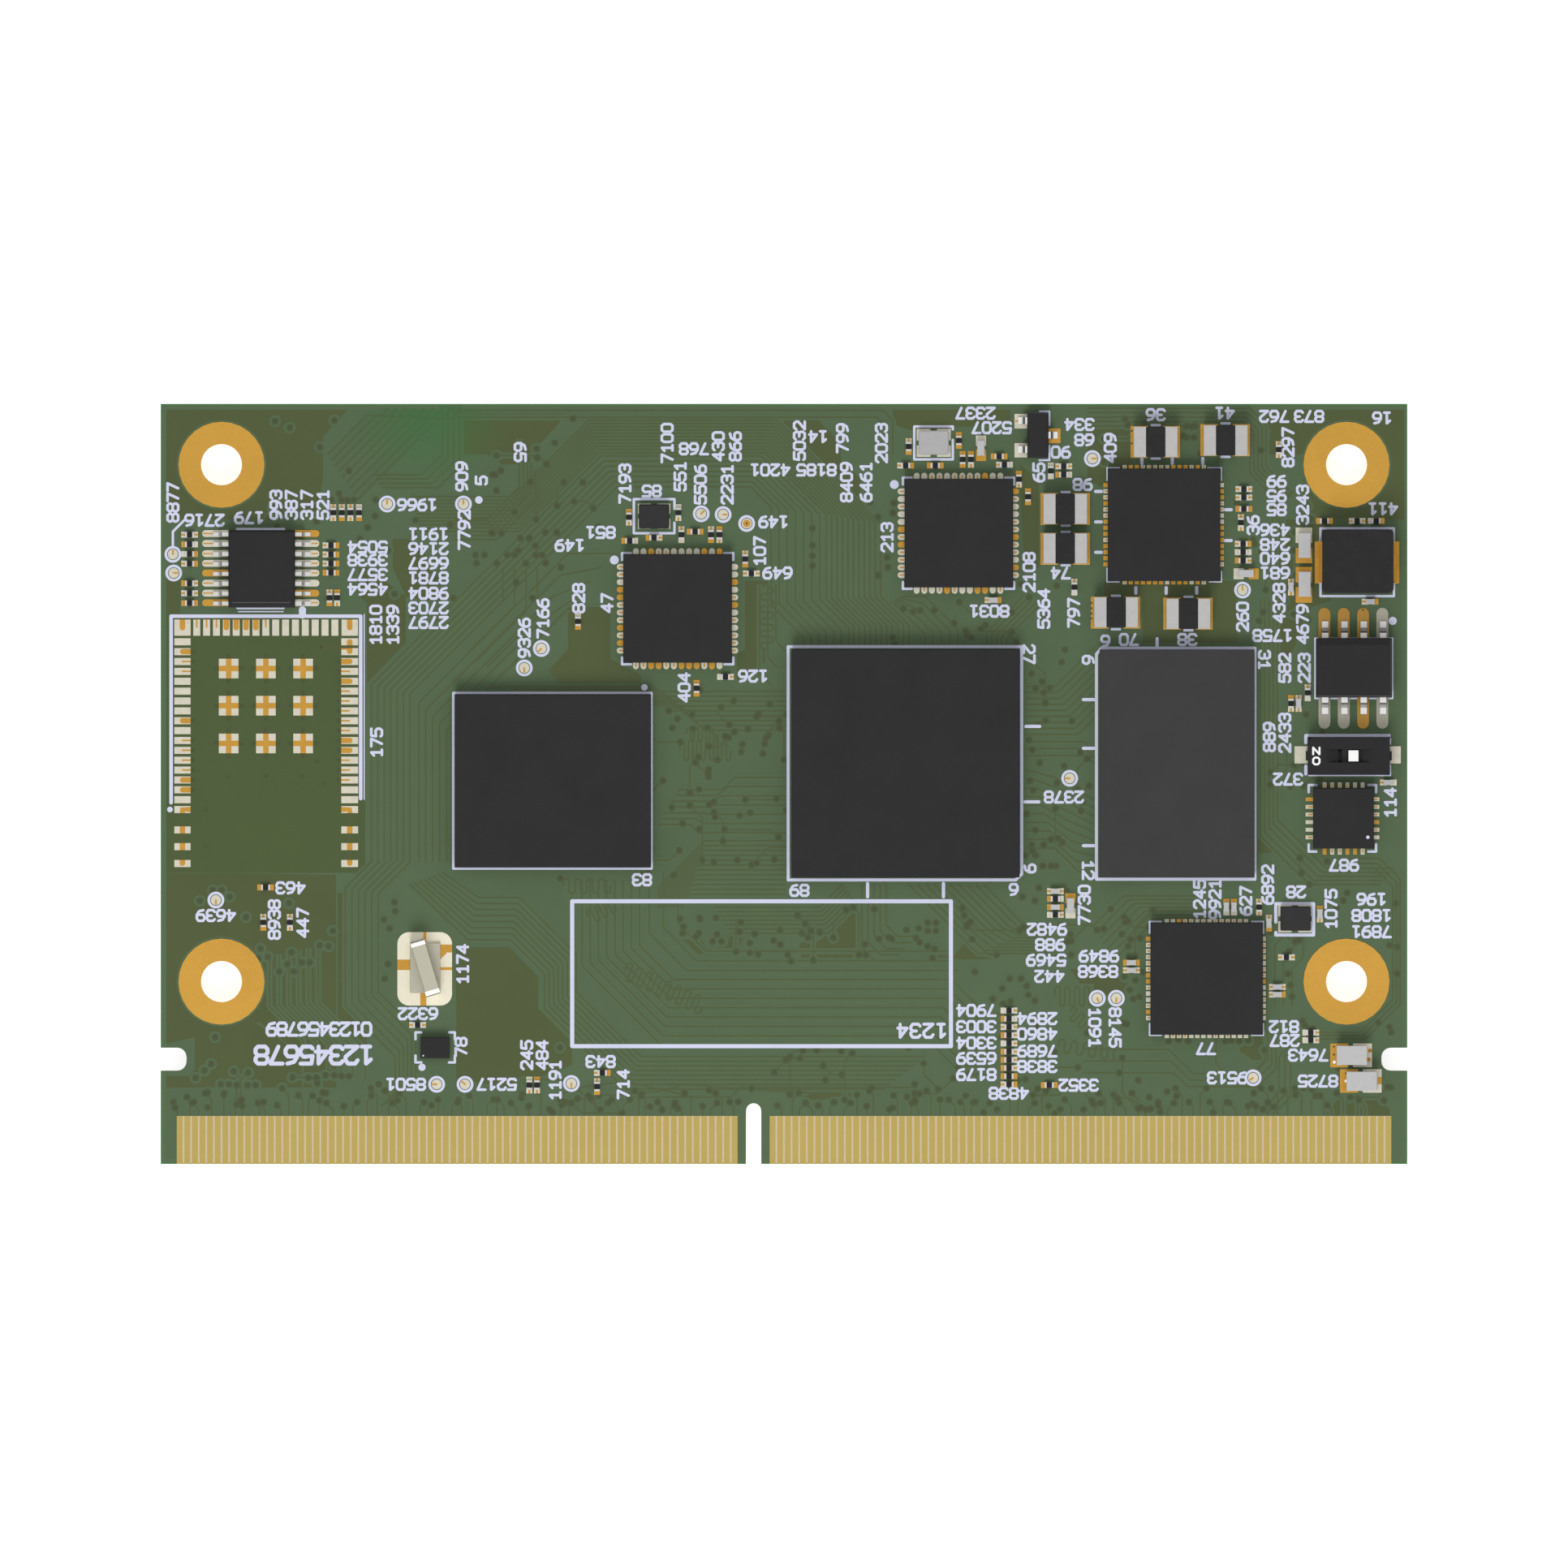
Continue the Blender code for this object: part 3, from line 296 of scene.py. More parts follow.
finishes = {
    "bareMask": newFinish("bareMask", (76, 97, 65), 0.5, specular=0.35, mottle=0.04),
    "copperMask": newFinish("copperMask", (71, 82, 42), 0.5, specular=0.35, mottle=0.05, patch=5.0),
    "trackMask": newFinish("trackMask", (73, 85, 48), 0.5, specular=0.35, mottle=0.04),
    "plainMask": newFinish("plainMask", (66, 82, 40), 0.5, specular=0.35, mottle=0.03, patch=5.0),
    "viaMask": newFinish("viaMask", (65, 75, 42), 0.5, specular=0.3, mottle=0.08),
    "viaRing": newFinish("viaRing", (69, 82, 51), 0.5, specular=0.3, mottle=0.05),
    "ink": newFinish("ink", (214, 217, 240), 0.7, specular=0.2, mottle=0.03, grain=0.03, bump=0.25),
    "solder": newFinish("solder", (208, 203, 185), 0.45, metallic=0.3, mottle=0.07, patch=0.4),
    "brightSolder": newFinish("brightSolder", (233, 227, 204), 0.5, metallic=0.1, mottle=0.04, patch=0.8),
    # darker copies of solder and gold: painted shade for the boot flash pads
    "dullSolder": newFinish("dullSolder", (168, 164, 149), 0.45, metallic=0.3, mottle=0.06, patch=0.6),
    "dullGold": newFinish("dullGold", (168, 127, 54), 0.45, metallic=0.6, mottle=0.06, patch=0.8),
    "gold": newFinish("gold", (190, 142, 55), 0.4, metallic=0.7, mottle=0.06, patch=0.5),
    "mould": newFinish("mould", (44, 44, 45), 0.7, specular=0.12, mottle=0.06, patch=3.0, grain=0.04, bump=0.4),
    # Greys for the edges of package tops: a painted highlight on the edge towards the lamp, painted shade on the edge
    # away from it
    "edgeHighlightGrey": newFinish("edgeHighlightGrey", (79, 79, 81), 0.6, specular=0.2, mottle=0.05, patch=1.0),
    "edgeShadeGrey": newFinish("edgeShadeGrey", (36, 36, 37), 0.7, specular=0.12, mottle=0.06, patch=3.0, grain=0.04, bump=0.4),
    "mouldGrey": newFinish("mouldGrey", (61, 61, 61), 0.7, specular=0.12, mottle=0.05, patch=3.0, grain=0.04, bump=0.4),
    "ferrite": newFinish("ferrite", (44, 44, 45), 0.75, specular=0.12, mottle=0.1, patch=0.6, grain=0.05, bump=0.6),
    "tin": newFinish("tin", (180, 179, 178), 0.45, metallic=0.5, mottle=0.04, patch=0.5),
    "chipEnd": newFinish("chipEnd", (203, 201, 198), 0.45, metallic=0.3, mottle=0.05, patch=0.2),
    "resistor": newFinish("resistor", (25, 25, 27), 0.5, specular=0.2, mottle=0.08, patch=0.2),
    "ceramic": newFinish("ceramic", (188, 188, 188), 0.5, mottle=0.04, patch=0.3),
    "laminate": newFinish("laminate", (203, 189, 159), 0.6, specular=0.3, mottle=0.04, patch=0.5),
    "clipMetal": newFinish("clipMetal", (162, 117, 41), 0.4, metallic=0.8, mottle=0.08, patch=0.5),
    "crystalDark": newFinish("crystalDark", (47, 47, 48), 0.6, specular=0.15, mottle=0.08, patch=0.4),
    "crystalLight": newFinish("crystalLight", (171, 171, 171), 0.4, metallic=0.5, mottle=0.04, patch=0.4),
    "crystalBase": newFinish("crystalBase", (47, 47, 48), 0.6, specular=0.2, mottle=0.08, patch=0.3),
    "switchPlastic": newFinish("switchPlastic", (30, 30, 32), 0.55, specular=0.2, mottle=0.08, patch=0.5, bump=0.4),
    "whitePlastic": newFinish("whitePlastic", (253, 253, 252), 0.4, mottle=0.02, patch=0.3),
    # near-black metal for the switch terminals: painted shade
    "shadedSwitchMetal": newFinish("shadedSwitchMetal", (39, 39, 41), 0.4, metallic=0.6, mottle=0.1, patch=0.2),
    "bronze": newFinish("bronze", (166, 122, 60), 0.3, metallic=1.0, mottle=0.06, patch=0.2),
    "loopMetal": newFinish("loopMetal", (182, 178, 161), 0.38, metallic=0.5, mottle=0.05, patch=0.6),
    "underCeramic": newFinish("underCeramic", (131, 111, 87), 0.5, mottle=0.06, patch=0.3),
    "ball": newFinish("ball", (166, 166, 168), 0.3, metallic=0.9, mottle=0.05, patch=0.2),
}
finishes["board"] = makeBoardFinish()
print("finishes ready:", len(finishes))


# Pieces and node trees
collection = bpy.context.scene.collection


def addObject(name, mesh):
    made = bpy.data.objects.new(name, mesh)
    collection.objects.link(made)
    return made


def keepPiece(made, finish=None, body="board", slot=None, replaced=()):
    if finish:
        made.data.materials.clear()
        made.data.materials.append(finishes[finish])
    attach(made, body)
    if replaced:
        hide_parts(*replaced)
    return made


def newTree(name, inputs):
    tree = bpy.data.node_groups.new(name, "GeometryNodeTree")
    tree.is_modifier = True
    tree.interface.new_socket("Geometry", in_out="INPUT", socket_type="NodeSocketGeometry")
    for label, kind in inputs.items():
        tree.interface.new_socket(label, in_out="INPUT", socket_type=kind)
    tree.interface.new_socket("Geometry", in_out="OUTPUT", socket_type="NodeSocketGeometry")
    graph = Graph(tree)
    start = graph.node("NodeGroupInput")
    return tree, graph, {label: start.out(label) for label in ["Geometry", *inputs]}


def endTree(graph, geometry, material):
    joined = graph.node("GeometryNodeRealizeInstances", {}, {0: geometry})
    painted = graph.node("GeometryNodeSetMaterial", {}, {0: joined, "Material": material})
    graph.node("NodeGroupOutput", {}, {0: painted})


def runTree(tree, name, mesh, finish, **values):
    carrier = addObject(name + "Points", mesh)
    modifier = carrier.modifiers.new(tree.name, "NODES")
    modifier.node_group = tree
    values = {"Material": finishes[finish], "Steps": 3, **values}
    for item in tree.interface.items_tree:
        if item.in_out == "INPUT" and item.name in values:
            modifier[item.identifier] = values[item.name]
    view = bpy.context.evaluated_depsgraph_get()
    done = bpy.data.meshes.new_from_object(carrier.evaluated_get(view))
    bpy.data.objects.remove(carrier)
    done.name = name
    return addObject(name, done)


def roundedBlocks():
    # A rounded block at each point, turned by the point's own angle
    kinds = {"Length": "NodeSocketFloat", "Width": "NodeSocketFloat", "Height": "NodeSocketFloat",
             "Corner": "NodeSocketFloat", "Chamfer": "NodeSocketFloat", "Steps": "NodeSocketInt",
             "Material": "NodeSocketMaterial"}
    tree, graph, given = newTree("roundedBlocks", kinds)
    outline = graph.node("GeometryNodeCurvePrimitiveQuadrilateral", {}, {"Width": given["Length"], "Height": given["Width"]})
    outline = graph.node("GeometryNodeFilletCurve", {"mode": "POLY"},
                         {"Curve": outline, "Count": given["Steps"], "Radius": given["Corner"], "Limit Radius": True})
    base = graph.node("GeometryNodeFillCurve", {"mode": "NGONS"}, {"Curve": outline})
    rise = graph.node("GeometryNodeExtrudeMesh", {}, {"Mesh": base, "Individual": False, "Offset Scale": given["Height"] - given["Chamfer"]})
    crown = graph.node("GeometryNodeExtrudeMesh", {},
                       {"Mesh": rise, "Selection": rise.out("Top"), "Individual": False, "Offset Scale": given["Chamfer"]})
    shrink = 1 - 2 * given["Chamfer"] / given["Width"]
    crown = graph.node("GeometryNodeScaleElements", {}, {"Geometry": crown, "Selection": crown.out("Top"), "Scale": shrink})
    under = graph.node("GeometryNodeFlipFaces", {}, {0: base})
    closed = graph.node("GeometryNodeJoinGeometry", {}, {0: [crown, under]})
    closed = graph.node("GeometryNodeMergeByDistance", {}, {"Geometry": closed, "Distance": 1e-7})
    turn = graph.node("GeometryNodeInputNamedAttribute", {"data_type": "FLOAT"}, {"Name": "turn"})
    heading = graph.node("ShaderNodeCombineXYZ", {}, {"Z": turn})
    scale = graph.node("GeometryNodeInputNamedAttribute", {"data_type": "FLOAT_VECTOR"}, {"Name": "scale"})
    sockets = {"Points": given["Geometry"], "Instance": closed, "Rotation": heading, "Scale": scale}
    spread = graph.node("GeometryNodeInstanceOnPoints", {}, sockets)
    endTree(graph, spread, given["Material"])
    return tree


def sweptStrips():
    # A flat strip along every line of edges, its bends eased where a bend is given
    kinds = {"Width": "NodeSocketFloat", "Thickness": "NodeSocketFloat", "Bend": "NodeSocketFloat",
             "Material": "NodeSocketMaterial"}
    tree, graph, given = newTree("sweptStrips", kinds)
    path = graph.node("GeometryNodeMeshToCurve", {}, {0: given["Geometry"]})
    eased = graph.node("GeometryNodeFilletCurve", {"mode": "POLY"},
                       {"Curve": path, "Count": 2, "Radius": given["Bend"], "Limit Radius": True})
    path = graph.node("GeometryNodeSwitch", {"input_type": "GEOMETRY"},
                      {"Switch": given["Bend"] > 0, "False": path, "True": eased})
    path = graph.node("GeometryNodeSetCurveNormal", {"mode": "Z_UP"}, {0: path})
    section = graph.node("GeometryNodeCurvePrimitiveQuadrilateral", {}, {"Width": given["Width"], "Height": given["Thickness"]})
    strip = graph.node("GeometryNodeCurveToMesh", {}, {"Curve": path, "Profile Curve": section, "Fill Caps": True})
    flat = graph.node("GeometryNodeSetShadeSmooth", {}, {0: strip, "Shade Smooth": False})
    endTree(graph, flat, given["Material"])
    return tree


def roundDiscs():
    kinds = {"Diameter": "NodeSocketFloat", "Thickness": "NodeSocketFloat", "Sides": "NodeSocketInt",
             "Material": "NodeSocketMaterial"}
    tree, graph, given = newTree("roundDiscs", kinds)
    disc = graph.node("GeometryNodeMeshCylinder", {}, {"Vertices": given["Sides"], "Radius": given["Diameter"] * 0.5, "Depth": given["Thickness"]})
    points = graph.node("GeometryNodeMergeByDistance", {}, {"Geometry": given["Geometry"], "Distance": 1e-6})
    spread = graph.node("GeometryNodeInstanceOnPoints", {}, {"Points": points, "Instance": disc})
    endTree(graph, spread, given["Material"])
    return tree


def flatRings():
    kinds = {"Diameter": "NodeSocketFloat", "Line": "NodeSocketFloat", "Thickness": "NodeSocketFloat",
             "Material": "NodeSocketMaterial"}
    tree, graph, given = newTree("flatRings", kinds)
    loop = graph.node("GeometryNodeCurvePrimitiveCircle", {}, {"Resolution": 28, "Radius": given["Diameter"] * 0.5})
    section = graph.node("GeometryNodeCurvePrimitiveQuadrilateral", {}, {"Width": given["Line"], "Height": given["Thickness"]})
    ring = graph.node("GeometryNodeCurveToMesh", {}, {"Curve": loop, "Profile Curve": section})
    ring = graph.node("GeometryNodeSetShadeSmooth", {}, {0: ring, "Shade Smooth": False})
    spread = graph.node("GeometryNodeInstanceOnPoints", {}, {"Points": given["Geometry"], "Instance": ring})
    endTree(graph, spread, given["Material"])
    return tree


def solderBalls():
    kinds = {"Diameter": "NodeSocketFloat", "Squash": "NodeSocketFloat", "Material": "NodeSocketMaterial"}
    tree, graph, given = newTree("solderBalls", kinds)
    ball = graph.node("GeometryNodeMeshUVSphere", {}, {"Segments": 10, "Rings": 6, "Radius": given["Diameter"] * 0.5})
    flat = graph.node("ShaderNodeCombineXYZ", {}, {"X": 1.0, "Y": 1.0, "Z": given["Squash"]})
    spread = graph.node("GeometryNodeInstanceOnPoints", {}, {"Points": given["Geometry"], "Instance": ball, "Scale": flat})
    smooth = graph.node("GeometryNodeRealizeInstances", {}, {0: spread})
    smooth = graph.node("GeometryNodeSetShadeSmooth", {}, {0: smooth})
    endTree(graph, smooth, given["Material"])
    return tree


blockTree, stripTree, discTree = roundedBlocks(), sweptStrips(), roundDiscs()
ringTree, ballTree = flatRings(), solderBalls()


def linesMesh(name, lines):
    mesh = bpy.data.meshes.new(name)
    points, edges = [], []
    for line in lines:
        first = len(points)
        points += [tuple(point) for point in line]
        edges += [(first + i, first + i + 1) for i in range(len(line) - 1)]
    mesh.from_pydata(points, edges, [])
    return mesh


def pointsMesh(name, places):
    # Each place is a point, a turn, and how far the block is stretched along and across
    mesh = bpy.data.meshes.new(name)
    mesh.from_pydata([tuple(place[0]) for place in places], [], [])
    turns = mesh.attributes.new("turn", "FLOAT", "POINT")
    turns.data.foreach_set("value", [place[1] for place in places])
    scales = mesh.attributes.new("scale", "FLOAT_VECTOR", "POINT")
    scales.data.foreach_set("vector", [value for place in places for value in (place[2], place[3], 1.0)])
    return mesh


def addBlocks(name, places, finish, length, width, height, corner=0.0, chamfer=0.0, **keeping):
    made = runTree(blockTree, name, pointsMesh(name, places), finish,
                   Length=length, Width=width, Height=height, Corner=corner, Chamfer=chamfer)
    return keepPiece(made, **keeping)


def addStrips(name, lines, finish, width, thickness, bend=0.0, **keeping):
    made = runTree(stripTree, name, linesMesh(name, lines), finish, Width=width, Thickness=thickness, Bend=bend)
    return keepPiece(made, **keeping)


def joinPieces(name, pieces):
    # Several finished meshes become one piece, each keeping its own finish
    bm = bmesh.new()
    made = bpy.data.meshes.new(name)
    used = []
    for piece in pieces:
        own = list(piece.data.materials)
        used += [finish for finish in own if finish and finish not in used]
        first = len(bm.faces)
        bm.from_mesh(piece.data)
        bm.faces.ensure_lookup_table()
        for face in bm.faces[first:]:
            face.material_index = used.index(own[face.material_index])
        bpy.data.objects.remove(piece)
    for finish in used:
        made.materials.append(finish)
    bm.to_mesh(made)
    bm.free()
    return addObject(name, made)


def roundedOutline(length, width, corner, steps=3):
    points = []
    for quarter, (sx, sy) in enumerate(((1, 1), (-1, 1), (-1, -1), (1, -1))):
        for step in range(steps + 1):
            angle = math.pi / 2 * (quarter + step / steps)
            points.append((sx * (length / 2 - corner) + corner * math.cos(angle),
                           sy * (width / 2 - corner) + corner * math.sin(angle)))
    return points


def addSolid(bm, middle, length, width, profile, corner, turn=0.0, material=0, shift=0.0):
    # profile lists (inset, height) from the foot up; every level is one rounded outline
    loops = []
    rotation = Matrix.Rotation(turn, 4, "Z")
    for inset, height in profile:
        rounding = max(corner - inset * 0.5, 0.004 * mm)
        outline = roundedOutline(length - 2 * inset, width - 2 * inset, rounding)
        loops.append([bm.verts.new(Vector(middle) + rotation @ Vector((x + shift, y, height))) for x, y in outline])
    faces = [bm.faces.new(loops[0][::-1]), bm.faces.new(loops[-1])]
    for lower, upper in zip(loops, loops[1:]):
        for i in range(len(lower)):
            j = (i + 1) % len(lower)
            faces.append(bm.faces.new((lower[i], lower[j], upper[j], upper[i])))
    for face in faces:
        face.material_index = material


def addRibbon(bm, path, across, width, thickness, material=0):
    # A flat strip bent along path, with across the direction of its width
    rings = []
    for number, point in enumerate(path):
        legs = [(last - first).normalized() for first, last in zip(path[max(number - 1, 0):number + 1], path[max(number, 1):number + 2])]
        along = sum(legs, Vector()).normalized()
        normal = across.cross(along) * thickness / 2 / along.dot(legs[0])
        rings.append([bm.verts.new(point + normal * up + across * width / 2 * side)
                      for up, side in ((1, 1), (1, -1), (-1, -1), (-1, 1))])
    faces = [bm.faces.new(rings[0][::-1]), bm.faces.new(rings[-1])]
    for first, last in zip(rings, rings[1:]):
        faces += [bm.faces.new((first[i], first[(i + 1) % 4], last[(i + 1) % 4], last[i])) for i in range(4)]
    for face in faces:
        face.material_index = material


def meshPiece(name, bm, materials, **keeping):
    mesh = bpy.data.meshes.new(name)
    bm.to_mesh(mesh)
    bm.free()
    for finish in materials:
        mesh.materials.append(finishes[finish])
    return keepPiece(addObject(name, mesh), **keeping)


# CAD nodes that stay
nodeFinishes = {
    "circuit_board": "board", "processor": "mould", "memory": "mouldGrey", "flash_storage": "mould",
    "power_controller": "mould", "usb_hub": "mould", "port_expander": "mould", "clock_chip": "mould",
    "ethernet_transceiver_left": "mould", "ethernet_transceiver_right": "mould",
    "switch_base": "switchPlastic", "switch_cover": "switchPlastic", "switch_slider": "slider",
    # the terminals' near-black metal is painted shade
    "switch_contact": "bronze", "switch_terminal_left": "shadedSwitchMetal", "switch_terminal_right": "shadedSwitchMetal",
}


def makeSliderFinish():
    # A white knob on a dark foot
    material, graph, shader, place = startFinish("sliderPlastic", {"Specular IOR Level": 0.3})
    crown = max(corner.co.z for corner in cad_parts["switch_slider"].data.vertices)
    height = graph.node("ShaderNodeSeparateXYZ", {}, {0: place}).out("Z")
    fine = noise(graph, place, 0.05 * mm, 2.0)
    colour = mixColours(graph, height > crown - 0.35 * mm, linear((33, 33, 35)), linear((254, 254, 253)))
    graph.tree.links.new(colour.socket, shader.inputs["Base Color"])
    graph.tree.links.new((0.4 + fine * 0.1).socket, shader.inputs["Roughness"])
    return material


finishes["slider"] = makeSliderFinish()
for nodeName, finish in nodeFinishes.items():
    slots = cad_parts[nodeName].data.materials
    if not slots:
        slots.append(None)
    for index in range(len(slots)):
        slots[index] = finishes[finish]


def boxOf(node):
    low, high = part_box(node)
    return low, high, (low + high) / 2, high - low


# Copper, tracks and vias
# Copper pours under the mask, as outlines on the photo
pours = [
    [(205, 505), (428, 505), (398, 538), (398, 590), (388, 640), (330, 640), (205, 640)],
    [(205, 712), (222, 712), (222, 756), (205, 756)],
    [(205, 1076), (300, 1076), (414, 1078), (414, 1340), (374, 1340), (374, 1300), (320, 1260), (205, 1286)],
    [(416, 1100), (424, 1100), (424, 1238), (452, 1266), (452, 1300), (416, 1262)],
    [(240, 1262), (318, 1262), (372, 1300), (372, 1340), (205, 1340), (205, 1326), (232, 1326), (240, 1318)],
    [(572, 505), (696, 505), (690, 520), (672, 540), (640, 572), (618, 572), (600, 560), (572, 560)],
    [(442, 692), (500, 735), (500, 792), (452, 842), (452, 742), (442, 735)],
    [(484, 664), (508, 664), (530, 690), (545, 700), (545, 742), (500, 735), (484, 700)],
    [(700, 748), (752, 748), (752, 812), (790, 832), (790, 842), (690, 842), (676, 826), (700, 800)],
    [(918, 716), (946, 716), (946, 806), (936, 826), (908, 838), (908, 806), (918, 800)],
    [(562, 1167), (627, 1167), (663, 1203), (663, 1242), (705, 1284), (705, 1312), (632, 1340), (562, 1330)],
    [(966, 514), (1004, 514), (1036, 546), (1036, 566), (1060, 590), (1060, 634), (990, 560), (966, 536)],
    [(1100, 505), (1245, 505), (1245, 522), (1120, 530), (1100, 522)],
    [(1256, 572), (1280, 590), (1280, 700), (1262, 700)],
    [(1340, 520), (1396, 520), (1396, 570), (1356, 600), (1340, 590)],
    [(1360, 716), (1524, 716), (1524, 792), (1408, 792), (1408, 735), (1360, 735)],
    [(1562, 560), (1606, 560), (1606, 640), (1730, 640), (1730, 505), (1560, 505), (1560, 520), (1566, 530)],
    [(1575, 640), (1640, 640), (1640, 740), (1616, 748), (1588, 812), (1576, 812), (1575, 700)],
    [(1318, 1194), (1382, 1194), (1390, 1216), (1390, 1226), (1342, 1226), (1342, 1240), (1330, 1240), (1330, 1210)],
    [(1525, 1276), (1556, 1276), (1556, 1306), (1545, 1306), (1528, 1296)],
    [(1650, 1352), (1694, 1352), (1712, 1366), (1712, 1374), (1632, 1374)],
    [(1054, 1118), (1054, 1170), (1062, 1184), (988, 1184), (985, 1164), (992, 1158), (1008, 1160), (1026, 1146)],
    [(842, 1158), (864, 1158), (872, 1170), (896, 1166), (900, 1150), (918, 1146), (908, 1176), (860, 1176)],
    [(1192, 1156), (1204, 1152), (1230, 1182), (1140, 1182), (1152, 1176), (1176, 1178)],
    [(972, 1336), (1058, 1336), (1050, 1358), (1040, 1350), (1010, 1356), (980, 1352), (972, 1358)],
    [(1550, 1010), (1560, 1016), (1592, 1048), (1550, 1052)],
]
plainPatch = [(205, 756.5), (450, 756.5), (450, 1075.5), (205, 1075.5)]

# Bundles of tracks between two rails: how many, the first rail and the last rail
bundles = [
    (2, [(560, 505.8), (1088, 505.8), (1100, 518), (1100, 560)], [(560, 514.2), (1080, 514.2), (1090, 524), (1090, 572)]),
    (11, [(505, 612), (631, 612), (725, 518), (958, 518), (1085, 645), (1085, 735), (1120, 770), (1120, 797)],
     [(520, 655), (640, 655), (737, 558), (942, 558), (1018, 634), (1018, 738), (1052, 772), (1052, 797)]),
    (7, [(457.6, 1062), (457.6, 844), (740, 562), (938, 562), (1010, 634), (1010, 738), (1046, 774), (1046, 797)],
     [(505, 1062), (505, 855), (760, 600), (925, 600), (950, 625), (950, 745), (990, 785), (990, 797)]),
    (5, [(516, 1062), (516, 866), (700, 682), (756, 682)], [(550, 1062), (550, 900), (660, 790), (700, 750), (700, 600)]),
    (6, [(457.6, 1062), (425.5, 1094), (425.5, 1240), (487, 1302), (487, 1346), (470, 1363)],
     [(505, 1062), (466, 1101), (466, 1222), (512, 1268), (512, 1330), (492, 1350)]),
    (8, [(505, 1090), (577, 1158), (629, 1158), (671, 1200), (671, 1243), (770, 1342), (1090, 1342)],
     [(545, 1075), (590, 1106), (640, 1106), (710, 1176), (710, 1222), (790, 1302), (1140, 1302)]),
    (8, [(717, 1085), (717, 1190), (815, 1288), (1150, 1288), (1186, 1324), (1216, 1324)],
     [(788, 1085), (788, 1165), (830, 1207), (1172, 1207), (1215, 1250), (1234, 1250)]),
    (3, [(800, 1060), (800, 1150), (846, 1196), (1180, 1196)], [(835, 1090), (835, 1137), (870, 1172), (1165, 1172)]),
    (12, [(968, 1036), (868, 1036), (811, 1093), (811, 1118)], [(968, 1102), (850, 1102), (842, 1110), (842, 1118)]),
    (9, [(968, 852), (812, 852), (806, 846), (606, 846)], [(968, 900), (868, 900), (840, 872), (820, 872)]),
    (7, [(968, 958), (905, 958), (890, 973), (836, 973)], [(968, 1026), (860, 1026), (850, 1016), (812, 1016)]),
    (7, [(880, 1118), (1010, 1118), (1038, 1090)], [(900, 1150), (1020, 1150), (1056, 1114), (1056, 1090)]),
    (5, [(1062, 1090), (1062, 1168), (1078, 1184), (1100, 1184)], [(1092, 1090), (1092, 1140), (1106, 1154), (1130, 1154)]),
    (10, [(1120, 1090), (1180, 1150), (1205, 1175), (1290, 1175)], [(1212, 1090), (1262, 1140), (1280, 1140), (1300, 1140)]),
    (9, [(1264, 846), (1300, 846), (1348, 798)], [(1264, 905), (1328, 905), (1348, 885)]),
    (3, [(1264, 914), (1336, 914), (1348, 926)], [(1264, 931), (1338, 931), (1348, 941)]),
    (10, [(1264, 950), (1270, 950), (1300, 958), (1348, 986)], [(1264, 1045), (1300, 1045), (1330, 1075), (1348, 1075)]),
    (5, [(1553, 740), (1553, 1030), (1613, 1090), (1700, 1090)], [(1574, 740), (1574, 1010), (1634, 1070), (1716, 1070)]),
    (5, [(1340, 503), (1540, 503), (1560, 523), (1560, 575), (1590, 605)], [(1340, 525), (1530, 525), (1540, 535), (1540, 583), (1575, 618)]),
    (4, [(1600, 600), (1581, 619), (1581, 740)], [(1578, 616), (1568, 626), (1568, 740)]),
    (6, [(332, 1178), (332, 1240), (374, 1282), (374, 1310)], [(392, 1165), (392, 1235), (450, 1293), (450, 1330)]),
    (3, [(1650, 1058), (1700, 1058), (1725, 1083), (1725, 1238), (1683, 1280), (1610, 1280), (1590, 1300), (1590, 1352), (1568, 1374)],
     [(1650, 1070), (1694, 1070), (1716, 1092), (1716, 1232), (1676, 1272), (1606, 1272), (1576, 1302), (1576, 1346), (1552, 1370)]),
    (3, [(1334, 1293), (1440, 1293), (1470, 1323), (1545, 1323), (1562, 1306), (1562, 1270)],
     [(1334, 1322), (1446, 1322), (1463, 1339), (1550, 1339), (1572, 1317), (1572, 1262)]),
    (7, [(1348, 1140), (1384, 1104), (1480, 1104)], [(1370, 1186), (1424, 1132), (1500, 1132)]),
    (6, [(560, 640), (600, 640), (640, 600), (640, 540)], [(560, 665), (612, 665), (664, 613), (664, 590)]),
    (4, [(620, 700), (620, 740), (590, 770), (560, 800)], [(662, 700), (662, 760), (640, 782), (600, 822)]),
    (9, [(404, 560), (452, 512), (470, 512), (478, 504)], [(440, 616), (540, 516), (556, 516), (568, 504)]),
    (4, [(545, 500), (545, 560), (520, 585), (460, 585)], [(566, 500), (566, 575), (540, 601), (470, 601)]),
    (5, [(1110, 735), (1140, 735), (1180, 775), (1180, 797)], [(1100, 742), (1128, 770), (1140, 782), (1140, 797)]),
    (5, [(1260, 735), (1216, 779), (1216, 797)], [(1282, 745), (1240, 787), (1240, 797)]),
    (3, [(936, 720), (936, 830), (950, 844)], [(956, 720), (956, 790), (968, 802)]),
    (4, [(1590, 1088), (1590, 1120), (1560, 1150), (1560, 1240)], [(1606, 1088), (1606, 1180), (1592, 1194), (1592, 1240)]),
    (4, [(640, 1348), (640, 1330), (700, 1330), (730, 1360)], [(780, 1352), (900, 1352), (912, 1340), (1130, 1340)]),
]
